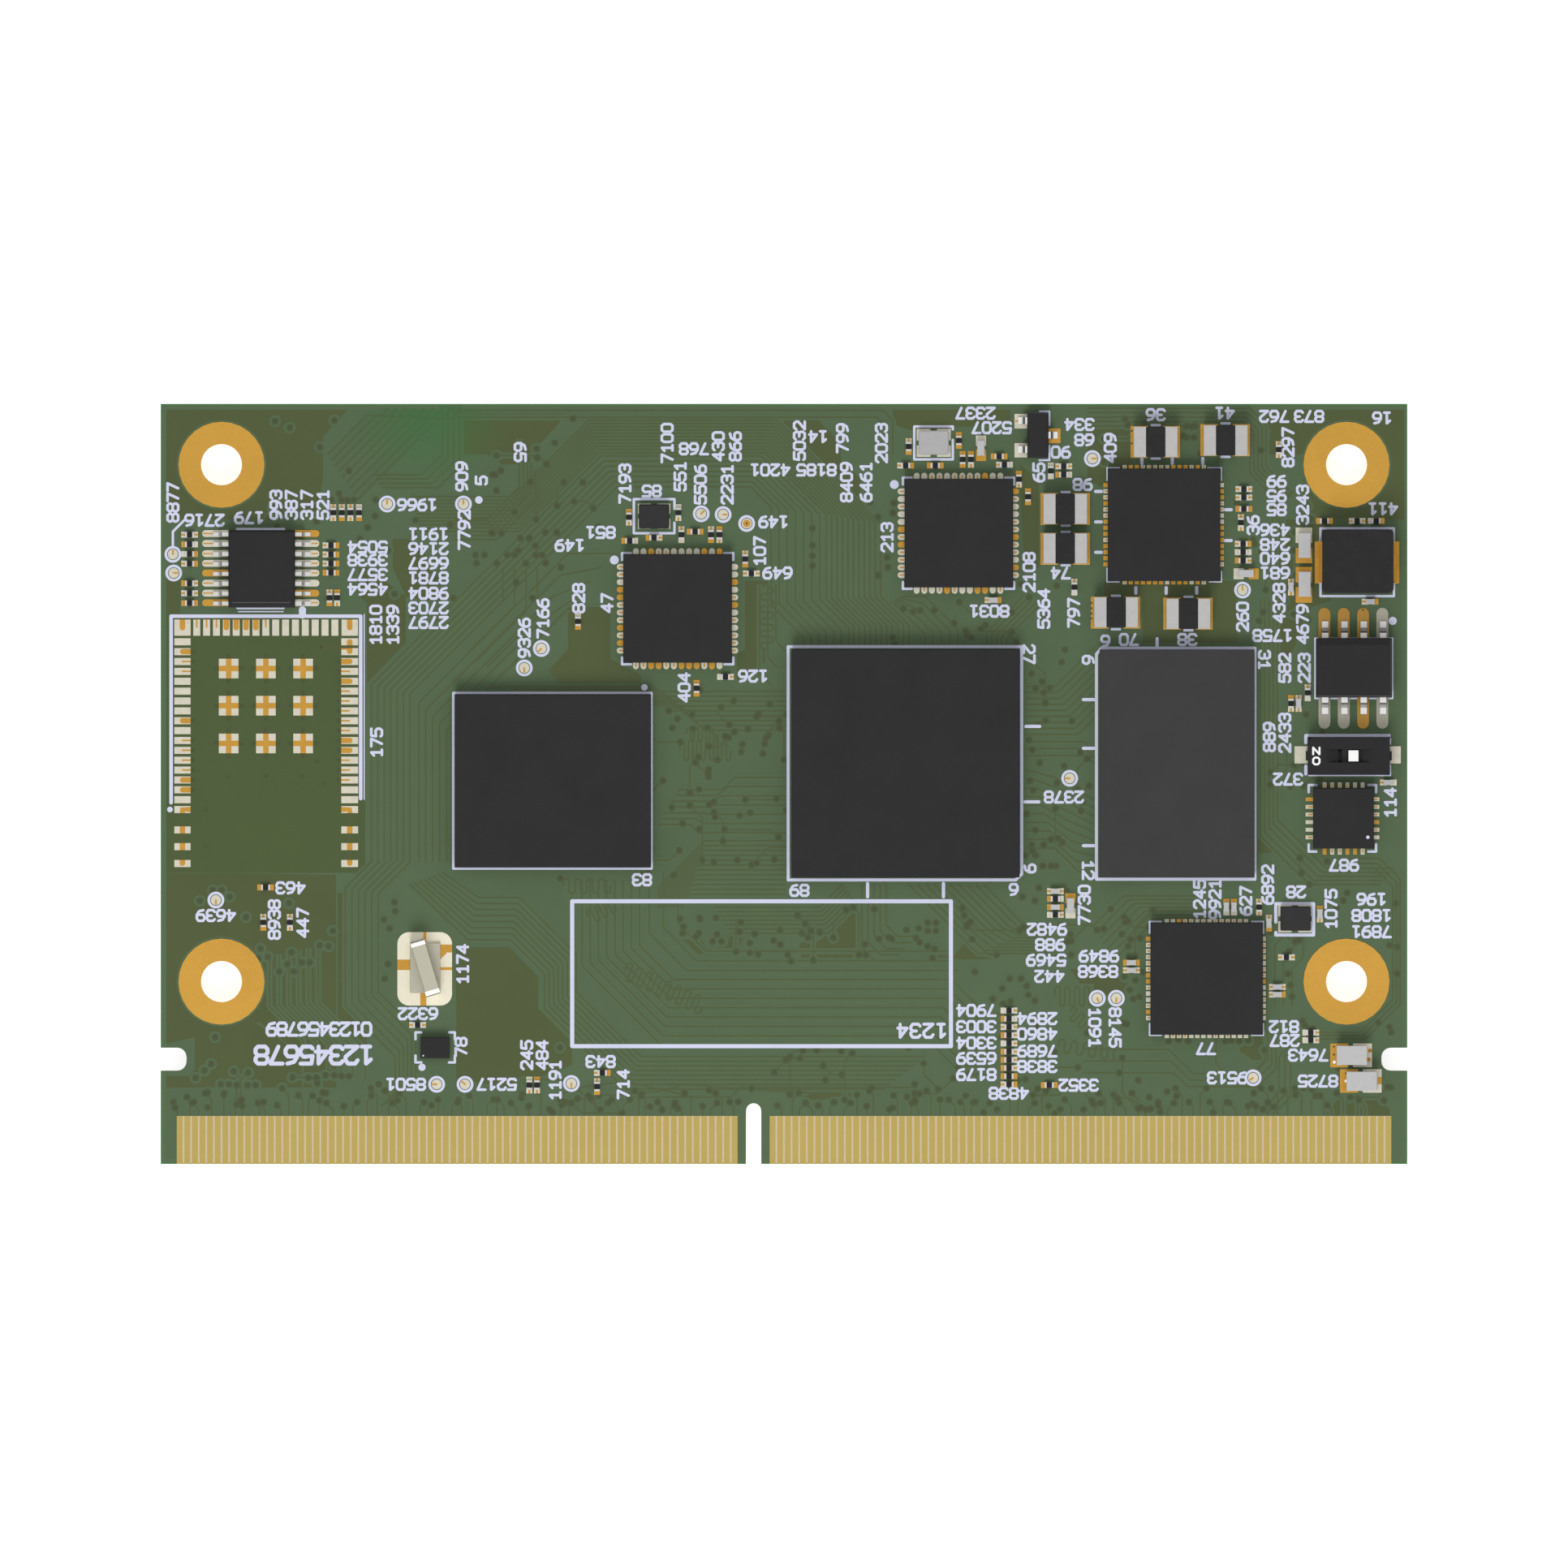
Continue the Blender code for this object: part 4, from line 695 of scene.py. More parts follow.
# Tuned-length tracks: start, end, swing to each side and number of turns
serpentines = [
    ((1300, 1228), (1348, 1228), 12, 4), ((1304, 1288), (1380, 1300), 8, 5), ((1318, 1246), (1346, 1270), 8, 3),
    ((694, 1092), (752, 1092), 9, 4), ((770, 1196), (866, 1240), 11, 8), ((945, 724), (945, 800), 8, 5),
    ((838, 925), (900, 925), 12, 6), ((846, 905), (884, 905), 8, 4), ((726, 1130), (756, 1116), 9, 3),
]
trackLook = {
    "width": 0.105 * mm, "clearance": 7.5, "pourRise": 0.0018 * mm, "pourStep": 0.0004 * mm,
    "patchRise": 0.0039 * mm, "patchStep": 0.0006 * mm, "bareRise": 0.006 * mm,
    "trackRise": 0.014 * mm, "viaRise": 0.0175 * mm, "tunedRise": 0.0168 * mm, "sunk": 0.012 * mm, "bend": 0.21 * mm,
    "step": 0.0002 * mm, "seed": 31, "looseRoutes": 150, "looseVias": 230, "fingerRoutes": 110,
}


def between(first, last, share):
    return [(a[0] + (b[0] - a[0]) * share, a[1] + (b[1] - a[1]) * share) for a, b in zip(first, last)]


def bundleTracks():
    tracks = []
    for count, first, last in bundles:
        tracks += [between(first, last, i / max(count - 1, 1)) for i in range(count)]
    return tracks


def serpentineTracks():
    # Loops whose every turn is a half circle
    tracks = []
    for start, end, swing, turns in serpentines:
        step = (Vector(end) - Vector(start)) / (2 * turns)
        side = Vector((-step.y, step.x)) / 2
        line = [Vector(start)]
        for number in range(2 * turns):
            way = side if number % 2 else -side
            heart = Vector(start) + step * (number + 0.5) + way * (2 * swing / step.length - 1)
            for i in range(7):
                angle = math.pi * i / 6
                line.append(heart - step / 2 * math.cos(angle) + way * math.sin(angle))
        line.append(Vector(end))
        tracks.append([tuple(point) for point in line])
    return tracks


# No via stands this near the key slot: left, top, right
keySlot = (912, 1346, 948)
# Where the loose tracks and vias of the photo lie: left, top, right, bottom
looseFields = [
    (320, 600, 460, 665), (470, 640, 560, 800), (600, 540, 760, 700), (690, 850, 1260, 1085),
    (820, 840, 968, 1010), (850, 1115, 960, 1175), (960, 1110, 1170, 1185), (1180, 1090, 1420, 1260),
    (1262, 800, 1350, 1080), (1090, 740, 1260, 795), (1520, 590, 1620, 790), (1560, 860, 1640, 1090),
    (1560, 1080, 1730, 1200), (1580, 1250, 1730, 1370), (1180, 1260, 1480, 1372), (900, 1290, 1190, 1372),
    (215, 1320, 520, 1372), (520, 1340, 900, 1372), (320, 1165, 420, 1200), (1340, 500, 1560, 575),
    (1380, 1080, 1420, 1300), (1480, 1270, 1600, 1372),
]


def isClear(x, y):
    # whether a point is on the board and off the screw rings
    for ringX, ringY in boardLook["holes"]:
        if math.hypot(x - photo["middle"] - ringX / px, photo["middle"] - y - ringY / px) < 62:
            return False
    return 206 < x < 1726 and 506 < y < 1376 and not (x > 1695 and 1278 < y < 1330) and not (x < 240 and 1278 < y < 1330)


def offSlot(vias):
    left, top, right = keySlot
    return [(x, y) for x, y in vias if not (left < x < right and y > top)]


def looseTracks():
    # Short routes with one 45 degree dog-leg, each from a via, seeded so that they never change
    dice = random.Random(trackLook["seed"])
    tracks, vias = [], []
    sizes = [(right - left) * (bottom - top) for left, top, right, bottom in looseFields]
    for number in range(trackLook["looseRoutes"] + trackLook["looseVias"]):
        left, top, right, bottom = dice.choices(looseFields, sizes)[0]
        x, y = dice.uniform(left, right), dice.uniform(top, bottom)
        if not isClear(x, y):
            continue
        vias.append((x, y))
        if number >= trackLook["looseRoutes"]:
            continue
        sx, sy = dice.choice((-1, 1)), dice.choice((-1, 1))
        slant, run = dice.uniform(5, 22), dice.uniform(10, 60)
        flat = (x + sx * run, y) if dice.random() < 0.5 else (x, y + sy * run)
        end = (flat[0] + sx * slant, flat[1] + sy * slant)
        if left < end[0] < right and top < end[1] < bottom and isClear(*flat) and isClear(*end):
            tracks.append([(x, y), flat, end])
            vias.append(end)
    return tracks, vias


def fingerTracks():
    # Short tracks and vias that lead up from the contact fingers
    dice = random.Random(trackLook["seed"] + 1)
    tracks, vias = [], []
    for number in range(trackLook["fingerRoutes"]):
        x = 222 + number * 13.4 + dice.uniform(-4, 4)
        if 905 < x < 950:
            continue
        height = dice.choice((8, 12, 20, 26))
        slant = dice.choice((-8, -5, 0, 5, 8))
        end = (x + slant, 1375 - height - abs(slant))
        tracks.append([(x, 1376), (x, 1375 - height), end])
        vias.append(end)
    return tracks, vias


exactVias = [
    (339, 519), (357, 527), (412, 518), (394, 551), (430, 580), (408, 616), (421, 616), (436, 616), (463, 616),
    (453, 650), (462, 636), (478, 678), (512, 641), (661, 553), (662, 564), (649, 566), (706, 516), (617, 580),
    (607, 585), (634, 631), (672, 656), (618, 657), (606, 657), (686, 656), (641, 663), (652, 663), (586, 684),
    (597, 684), (625, 684), (634, 684), (660, 684), (668, 684), (612, 694), (587, 694), (648, 694), (672, 694),
    (636, 718), (656, 737), (246, 1110), (262, 1097), (273, 1097), (283, 1105), (303, 1130), (356, 1113), (410, 1147),
    (318, 1181), (330, 1179), (354, 1188), (344, 1197), (362, 1197), (372, 1186), (382, 1186),
    (394, 1165), (405, 1166), (486, 1112), (487, 1123), (473, 1133), (480, 1144), (478, 1188), (474, 1206),
    (265, 1278), (260, 1311), (252, 1319), (241, 1328), (272, 1336), (256, 1346), (282, 1336), (292, 1337),
    (305, 1337), (315, 1337), (380, 1328), (390, 1328), (401, 1325), (412, 1325), (421, 1326), (430, 1326),
    (690, 1291), (838, 1132), (862, 1131), (882, 1131), (842, 1142), (841, 1150), (861, 1150), (911, 1148),
    (878, 1160), (889, 1160), (930, 1151), (924, 1162), (924, 1174), (934, 1176), (961, 1146), (988, 1150),
    (999, 1147), (1010, 1149), (1083, 1157), (1095, 1155), (1117, 1146), (1132, 1144), (1143, 1137), (1153, 1137),
    (1143, 1147), (1153, 1147), (1133, 1161), (1143, 1166), (1186, 1119), (1188, 1128), (1191, 1142), (1196, 1136),
    (1244, 1206), (1258, 1206), (1265, 1215), (1267, 1226), (1235, 1218), (1223, 1231), (1236, 1237), (1245, 1234),
    (1127, 1336), (1127, 1347), (1127, 1355), (1100, 1365), (1190, 1350), (1260, 1105), (1275, 1110),
    (1276, 848), (1284, 840), (1271, 830), (1279, 893), (1268, 912), (1272, 924), (1281, 940), (1269, 962),
    (1273, 974), (1265, 1003), (1271, 1041), (1286, 1041), (1276, 1054), (1285, 1067), (1295, 1067), (1280, 1094),
    (1101, 620), (1100, 632), (1001, 651), (1001, 672), (1001, 685), (1001, 697), (1082, 709), (1072, 619), (1082, 637),
    (1093, 687), (1094, 699), (1113, 750), (1125, 754), (1134, 752), (1151, 752), (1238, 710), (1258, 720),
    (1268, 736), (1302, 722), (1306, 710), (1462, 525), (1471, 525), (1462, 539), (1471, 539),
    (1390, 1166), (1391, 1178), (1397, 1186), (1399, 1208), (1392, 1220), (1404, 1228), (1452, 1281), (1464, 1283),
    (1510, 1283), (1527, 1283), (1588, 1172), (1596, 1160), (1587, 1200), (1590, 1214), (1592, 1228), (1605, 1258),
    (1714, 1272), (1714, 1340), (1705, 1356), (1660, 1100), (1655, 1110), (1712, 1165),
    (1543, 1360), (1556, 1367), (1416, 1352), (1427, 1362), (1438, 1345),
]


def levelled(tracks, height, side, reach):
    # Strips that come within reach of one another lie a hair apart, so no two tops share a plane
    cells, lines = {}, []
    for track in tracks:
        covered = set()
        for first, last in zip(track, track[1:] or track):
            count = int(math.dist(first, last) / reach) + 1
            for i in range(count + 1):
                x, y = [int((a + (b - a) * i / count) / reach) for a, b in zip(first, last)]
                covered.update((x + dx, y + dy) for dx in (-1, 0, 1) for dy in (-1, 0, 1))
        taken = set().union(*(cells.get(cell, ()) for cell in covered))
        level = next(number for number in range(len(tracks)) if number not in taken)
        for cell in covered:
            cells.setdefault(cell, set()).add(level)
        lines.append([fromPhoto(x, y, height + side * level * trackLook["step"]) for x, y in track])
    return lines


def addPour(bm, outline, rise, material):
    # One flat of copper, cut clear of the screw rings
    middle, reach = photo["middle"], (boardLook["ringRadius"] + boardLook["clearance"]) / px
    centres = [Vector((middle + x / px, middle - y / px)) for x, y in boardLook["holes"]]
    spokes = [Vector((math.cos(math.tau * i / 64), math.sin(math.tau * i / 64))) for i in range(64)]
    points, edges = [], []
    for loop in [[Vector(point) for point in outline]] + [[centre + spoke * reach for spoke in spokes] for centre in centres]:
        first = len(points)
        points += loop
        edges += [(first + i, first + (i + 1) % len(loop)) for i in range(len(loop))]
    flat, _, faces = delaunay_2d_cdt(points, edges, [], 1, 1e-4)[:3]
    height = boardTop + rise - trackLook["sunk"]
    corners = [bm.verts.new(fromPhoto(x, y, height)) for x, y in flat]
    made = []
    for face in faces:
        heart = sum((flat[i] for i in face), Vector((0, 0))) / len(face)
        if min((heart - centre).length for centre in centres) > reach * 0.998:
            made.append(bm.faces.new([corners[i] for i in face]))
            made[-1].material_index = material
            made[-1].normal_update()
            if made[-1].normal.z > 0:
                made[-1].normal_flip()
    grown = bmesh.ops.extrude_face_region(bm, geom=made)["geom"]
    bmesh.ops.translate(bm, verts=[item for item in grown if isinstance(item, bmesh.types.BMVert)],
                        vec=(0, 0, trackLook["sunk"]))


def makeCopper():
    look = trackLook
    bm = bmesh.new()
    for number, outline in enumerate(pours):
        addPour(bm, outline, look["pourRise"] + number % 5 * look["pourStep"], 0)
    addPour(bm, plainPatch, look["pourRise"], 1)
    for number, (start, end, swing, turns) in enumerate(serpentines):
        along = (Vector(end) - Vector(start)).normalized()
        side = Vector((-along.y, along.x)) * (swing + 4)
        outline = [Vector(start) - side, Vector(end) - side, Vector(end) + side, Vector(start) + side]
        addPour(bm, outline, look["patchRise"] + number % 3 * look["patchStep"], 2)
    bmesh.ops.delete(bm, geom=[corner for corner in bm.verts if not corner.link_faces], context="VERTS")
    bmesh.ops.recalc_face_normals(bm, faces=bm.faces)
    meshPiece("copperPours", bm, ["copperMask", "plainMask", "bareMask"], slot="solder_mask")

    loose, looseEnds = looseTracks()
    fromFingers, fingerEnds = fingerTracks()
    tracks = bundleTracks() + loose + fromFingers
    for name, finish, width, rise in (
        ("bareBands", "bareMask", look["clearance"] * px, look["bareRise"]),
        ("copperTracks", "trackMask", look["width"], look["trackRise"]),
    ):
        height = boardTop + rise - look["sunk"] / 2
        lines = levelled(tracks, height, 1, width / px)
        addStrips(name, lines, finish, width, look["sunk"], look["bend"], slot="solder_mask")
    height = boardTop + look["tunedRise"] - look["sunk"] / 2
    lines = levelled(serpentineTracks(), height, 1, look["width"] / px)
    addStrips("tunedTracks", lines, "trackMask", look["width"], look["sunk"], slot="solder_mask")

    vias = offSlot(exactVias + looseEnds + fingerEnds)
    for name, finish, diameter, rise, sides in (
        ("viaClearances", "bareMask", 15 * px, look["bareRise"] + 0.004 * mm, 16),
        ("viaPads", "viaRing", 9.0 * px, look["viaRise"], 14),
        ("viaHoles", "viaMask", 5.2 * px, look["viaRise"] + 0.002 * mm, 10),
    ):
        height = boardTop + rise - look["sunk"] / 2
        mesh = linesMesh(name, levelled([[via] for via in vias], height, 1, diameter / px))
        made = runTree(discTree, name, mesh, finish, Diameter=diameter, Thickness=look["sunk"], Sides=sides)
        keepPiece(made, slot="solder_mask")
    print("copper done:", len(tracks), "tracks,", len(vias), "vias")


makeCopper()


# Pads
padLook = {"rise": 0.0265 * mm, "goldRise": 0.0285 * mm, "sunk": 0.03 * mm, "corner": 0.015, "seed": 7, "goldShare": 0.36}


def addPads(name, boxes, rise, corner=None, slot="gold_plate"):
    # Each box is left, top, right, bottom on the photo and its finish
    corner = padLook["corner"] if corner is None else corner
    runs = []
    for finish in sorted({box[4] for box in boxes}):
        places = []
        for left, top, right, bottom, own in boxes:
            if own == finish:
                middle = fromPhoto((left + right) / 2, (top + bottom) / 2, boardTop - padLook["sunk"])
                places.append((middle, 0.0, (right - left) * px / mm, (bottom - top) * px / mm))
        runs.append(runTree(blockTree, name + finish, pointsMesh(name, places), finish, Length=mm, Width=mm,
                            Height=rise + padLook["sunk"], Corner=corner * mm, Chamfer=0.004 * mm))
    return keepPiece(joinPieces(name, runs), slot=slot)


def pickTin(dice, share=None):
    return "gold" if dice.random() < (padLook["goldShare"] if share is None else share) else "solder"


# Smallest chips, over the solids fused to the board
smallLook = {
    "bodyHalf": 3.25, "endHalf": 5.8, "padHalf": 10.3, "padWidth": 7.4, "endWidth": 6.7, "bodyWidth": 6.4,
    "resistorBelow": 0.265 * mm, "proud": 0.006 * mm, "plating": (2.3, 1.25),
}


def cadFlats(low, high):
    # Middles and sizes of the separate flat faces of the board between two heights
    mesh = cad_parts["circuit_board"].data
    groups, owner = [], {}
    for face in mesh.polygons:
        if abs(face.normal.z) < 0.99 or not low < face.center.z < high:
            continue
        keys = {tuple(round(c, 6) for c in mesh.vertices[i].co) for i in face.vertices}
        joined = {owner[key] for key in keys if key in owner}
        target = min(joined) if joined else len(groups)
        if not joined:
            groups.append(set())
        for other in joined - {target}:
            keys |= groups[other]
            groups[other] = set()
        groups[target] |= keys
        for key in groups[target]:
            owner[key] = target
    flats = []
    for group in groups:
        if group:
            xs, ys = [key[0] for key in group], [key[1] for key in group]
            height = next(iter(group))[2]
            flats.append(((min(xs) + max(xs)) / 2, (min(ys) + max(ys)) / 2, max(xs) - min(xs), max(ys) - min(ys), height))
    return sorted(flats)


def makeSmallChips():
    look = smallLook
    dice = random.Random(padLook["seed"])
    chips = [flat for flat in cadFlats(boardTop + 0.15 * mm, boardTop + 0.45 * mm)]
    pads, gold = [], []
    kinds = {"resistor": [], "capacitor": []}
    for x, y, sizeX, sizeY, height in chips:
        photoX, photoY = photo["middle"] + x / px, photo["middle"] - y / px
        along = sizeX > sizeY
        turn = 0.0 if along else math.pi / 2
        kind = "resistor" if height - boardTop < look["resistorBelow"] else "capacitor"
        kinds[kind].append((Vector((x, y, height)), turn))
        for side in (-1, 1):
            finish = pickTin(dice)
            near, far, half = 2.6 * side, look["padHalf"] * side, look["padWidth"] / 2
            near, far = sorted((near, far))
            if along:
                pads.append((photoX + near, photoY - half, photoX + far, photoY + half, finish))
            else:
                pads.append((photoX - half, photoY + near, photoX + half, photoY + far, finish))
            if finish == "solder" and dice.random() < 0.8:
                out = (look["padHalf"] - 2.4) * side
                long, thin = look["plating"] if along else look["plating"][::-1]
                x, y = (photoX + out, photoY) if along else (photoX, photoY + out)
                gold.append((x - long, y - thin, x + long, y + thin, "gold"))
    addPads("smallChipPads", pads, padLook["rise"])
    addPads("smallChipPadPlating", gold, padLook["goldRise"])

    depth = 0.34 * mm
    for kind, bodyFinish, slot in (("resistor", "resistor", "package_black"), ("capacitor", "ceramic", "capacitor_ceramic")):
        bodies, ends = [], []
        for place, turn in kinds[kind]:
            heading = Vector((math.cos(turn), math.sin(turn), 0))
            foot = Vector((place.x, place.y, place.z - depth))
            bodies.append((foot, turn, 1.0, 1.0))
            reach = (look["bodyHalf"] + look["endHalf"]) / 2 * px
            ends += [(foot + heading * reach * side, turn, 1.0, 1.0) for side in (-1, 1)]
        addBlocks(kind + "Bodies", bodies, bodyFinish, (2 * look["bodyHalf"] + 0.4) * px, look["bodyWidth"] * px,
                  depth + look["proud"] * 0.7, chamfer=0.01 * mm, slot=slot)
        addBlocks(kind + "Ends", ends, "chipEnd" if kind == "resistor" else "ceramic",
                  (look["endHalf"] - look["bodyHalf"]) * px, look["endWidth"] * px,
                  depth + look["proud"], chamfer=0.015 * mm, slot="tinned_metal")
    print("small chips:", {kind: len(found) for kind, found in kinds.items()})


makeSmallChips()


# Pads under the no-lead packages
# Per package: body box on the photo, pads on each side, their pitch, width, reach and share of gold
noLeads = {
    "powerController": {"box": (1365, 577, 1504, 716), "count": 14, "pitch": 7.5, "width": 5.2,
                        "reach": (5.5, 4, 4, 4), "share": 0.6, "round": False},
    "usbHub": {"box": (1417, 1136, 1556, 1275), "count": 14, "pitch": 7.5, "width": 5.4,
               "reach": (5, 3.5, 3.5, 4), "share": 0.1, "round": False},
    "leftTransceiver": {"box": (768, 683, 902, 817), "count": 12, "pitch": 9.37, "width": 7.4,
                        "reach": (8, 7, 7, 7), "share": 0.3, "round": True},
    "rightTransceiver": {"box": (1114, 590, 1248, 724), "count": 12, "pitch": 9.37, "width": 7.4,
                         "reach": (8, 7, 7, 7), "share": 0.3, "round": True},
    "portExpander": {"box": (1618, 970.5, 1693, 1046), "count": 6, "pitch": 9.37, "width": 4.8,
                     "reach": (9.3, 6.5, 6.5, 7), "share": 0.25, "round": False},
}


def makeNoLeadPads():
    dice = random.Random(padLook["seed"] + 1)
    square, rounded, stubs = [], [], []
    hidden = 7
    for name, look in noLeads.items():
        left, top, right, bottom = look["box"]
        middleX, middleY = (left + right) / 2, (top + bottom) / 2
        for side in range(4):
            count = look["count"]
            for number in range(count):
                offset = (number - (count - 1) / 2) * look["pitch"]
                reach, half = look["reach"][side], look["width"] / 2
                box = {
                    0: (left - reach, middleY + offset - half, left + hidden, middleY + offset + half),
                    1: (middleX + offset - half, top - reach, middleX + offset + half, top + hidden),
                    2: (right - hidden, middleY + offset - half, right + reach, middleY + offset + half),
                    3: (middleX + offset - half, bottom - hidden, middleX + offset + half, bottom + reach),
                }[side]
                finish = pickTin(dice, look["share"])
                (rounded if look["round"] else square).append((*box, finish, side))
                if finish == "solder" and dice.random() < 0.6:
                    third = 0.9
                    midX, midY = (box[0] + box[2]) / 2, (box[1] + box[3]) / 2
                    if side in (0, 2):
                        near, far = (left - reach * 0.7, left) if side == 0 else (right, right + reach * 0.7)
                        stubs.append((near, midY - third, far, midY + third, "gold"))
                    else:
                        near, far = (top - reach * 0.7, top) if side == 1 else (bottom, bottom + reach * 0.7)
                        stubs.append((midX - third, near, midX + third, far, "gold"))
    addPads("noLeadPads", [box[:5] for box in square], padLook["rise"])
    runs = []
    for width in sorted({round(min(box[2] - box[0], box[3] - box[1]), 2) for box in rounded}):
        for finish in ("solder", "gold"):
            places = []
            for left, top, right, bottom, own, side in rounded:
                if own == finish and abs(min(right - left, bottom - top) - width) < 0.05:
                    middle = fromPhoto((left + right) / 2, (top + bottom) / 2, boardTop - padLook["sunk"])
                    places.append((middle, 0.0 if side in (0, 2) else math.pi / 2, 1.0, 1.0))
            if places:
                runs.append(runTree(blockTree, "round" + finish, pointsMesh("round", places), finish, Length=15 * px,
                                    Width=width * px, Height=padLook["rise"] + padLook["sunk"],
                                    Corner=width * 0.49 * px, Chamfer=0.004 * mm))
    keepPiece(joinPieces("roundEndedPads", runs), slot="gold_plate")
    addPads("noLeadPadPlating", stubs, padLook["goldRise"])


makeNoLeadPads()


# The empty place for a radio module
radioPlace = {
    "corners": (224.8, 430.9), "topFirst": 242.4, "pitch": 12.16, "topCount": 15, "topHalf": 4.3, "cornerHalf": 10.1,
    "top": (763.3, 783.3), "rows": [786.4 + 12.16 * i for i in range(18)] + [1018.2, 1038.8, 1059.6], "rowHeight": 8.7,
    "left": {"ends": (214.8, 234.8), "inner": 234.8, "tongue": 225.2, "stub": 224, "dot": 237.6, "bar": 224.8,
             "tongues": (1, 8, 14, 15), "stubs": (2, 3, 10, 11, 12, 13)},
    "right": {"ends": (420.5, 441.2), "inner": 420.5, "tongue": 431, "stub": 431, "dot": 417, "bar": 430.9,
              "tongues": (2, 4, 10, 11), "stubs": (3, 5, 6, 7, 8, 9, 12, 13, 14)},
    "topTongues": (3, 4, 5, 6), "topStubs": (0, 1, 2, 7),
    "squares": ((281.75, 327.6, 373.5), (823.7, 869.5, 916)), "squareHalf": 12.1, "cross": 6.9, "crossDots": 16,
    "wide": 6.8, "narrow": 2.0,
    "dots": [(281, 957.3), (328, 956.3), (372.7, 957), (390.7, 938.3), (399.7, 965), (253.7, 997.7), (253, 1043.3), (396, 797.2)],
}


def addGoldBars(name, bars, width, tips):
    # Bars of bare gold on pads, some with a round tip
    level = boardTop + padLook["goldRise"] - padLook["sunk"] / 2
    runs = [runTree(stripTree, name, linesMesh(name, [[fromPhoto(x, y, level) for x, y in bar] for bar in bars]), "gold",
                    Width=width * px, Thickness=padLook["sunk"], Bend=0.0)]
    if tips:
        level += 0.0003 * mm
        runs.append(runTree(discTree, name, linesMesh(name, [[fromPhoto(x, y, level)] for x, y in tips]), "gold",
                            Diameter=width * px, Thickness=padLook["sunk"], Sides=20))
    return runs


def makeRadioPads():
    look = radioPlace
    top, bottom = look["top"]
    pads, wide, narrow, tips, dots, traces = [], [], [], [], list(look["dots"]), []
    for x in look["corners"]:
        pads.append((x - look["cornerHalf"], top, x + look["cornerHalf"], bottom, "solder"))
        wide.append([(x, top), (x, top + 10)])
        tips.append((x, top + 10))
    for number in range(look["topCount"]):
        x = look["topFirst"] + look["pitch"] * number
        pads.append((x - look["topHalf"], top, x + look["topHalf"], bottom, "solder"))
        if number in look["topTongues"]:
            wide.append([(x, top), (x, top + 10)])
            tips.append((x, top + 10))
        if number in look["topStubs"]:
            narrow.append([(x, top), (x, top + 10)])
    tall = look["rowHeight"]
    for side in (look["left"], look["right"]):
        near, far = side["ends"]
        for number, y in enumerate(look["rows"]):
            middle = y + tall / 2
            pads.append((near, y, far, y + tall, "solder"))
            if number in side["tongues"]:
                wide.append([(side["inner"], middle), (side["tongue"], middle)])
                tips.append((side["tongue"], middle))
            if number in side["stubs"]:
                narrow.append([(side["inner"], middle), (side["stub"], middle)])
            if number in side["tongues"] + side["stubs"]:
                dots.append((side["dot"], middle))
        bar, rows = side["bar"], look["rows"]
        wide.append([(side["inner"], rows[17] + 4.4), (bar, rows[17] + 4.4), (bar, rows[17] + tall)])
        wide += [[(bar, y), (bar, y + tall)] for y in rows[18:20]]
        wide.append([(bar, rows[20]), (bar, rows[20] + 4)])
        tips.append((bar, rows[20] + 4))
        traces.append([(bar, rows[17]), (bar, rows[20])])
    bar, rows = look["right"]["bar"], look["rows"]
    wide += [[(bar, rows[0] + 4.5), (bar, rows[0] + tall)], [(bar, rows[1]), (bar, rows[1] + 4)]]
    tips += [(bar, rows[0] + 4.5), (bar, rows[1] + 4)]
    narrow.append([(look["right"]["inner"], rows[1] + 1), (bar - 3.4, rows[1] + 1)])
    traces += [[(396, 797.2), (440, 797.2)], [(bar, rows[0]), (bar, rows[1])]]
    half, cross, away = look["squareHalf"], look["cross"] / 2, look["crossDots"]
    for x in look["squares"][0]:
        for y in look["squares"][1]:
            pads.append((x - half, y - half, x + half, y + half, "solder"))
            wide += [[(x - half, y), (x + half, y)], [(x, y - half), (x, y - cross)], [(x, y + cross), (x, y + half)]]
            dots += [(x - away, y), (x + away, y), (x, y - away), (x, y + away)]
    addPads("radioPads", pads, padLook["rise"])
    runs = addGoldBars("radioTongues", wide, look["wide"], tips) + addGoldBars("radioStubs", narrow, look["narrow"], [])
    keepPiece(joinPieces("radioPadPlating", runs), slot="gold_plate")
    height = boardTop + trackLook["bareRise"] - trackLook["sunk"] / 2
    addStrips("radioTraces", levelled(traces, height, 1, 8), "copperMask", 6.5 * px, trackLook["sunk"], slot="solder_mask")
    mesh = linesMesh("radioDots", levelled([[dot] for dot in dots], height + 0.001 * mm, 1, 6))
    keepPiece(runTree(discTree, "radioDots", mesh, "viaMask", Diameter=5.2 * px, Thickness=trackLook["sunk"], Sides=12),
              slot="solder_mask")


makeRadioPads()


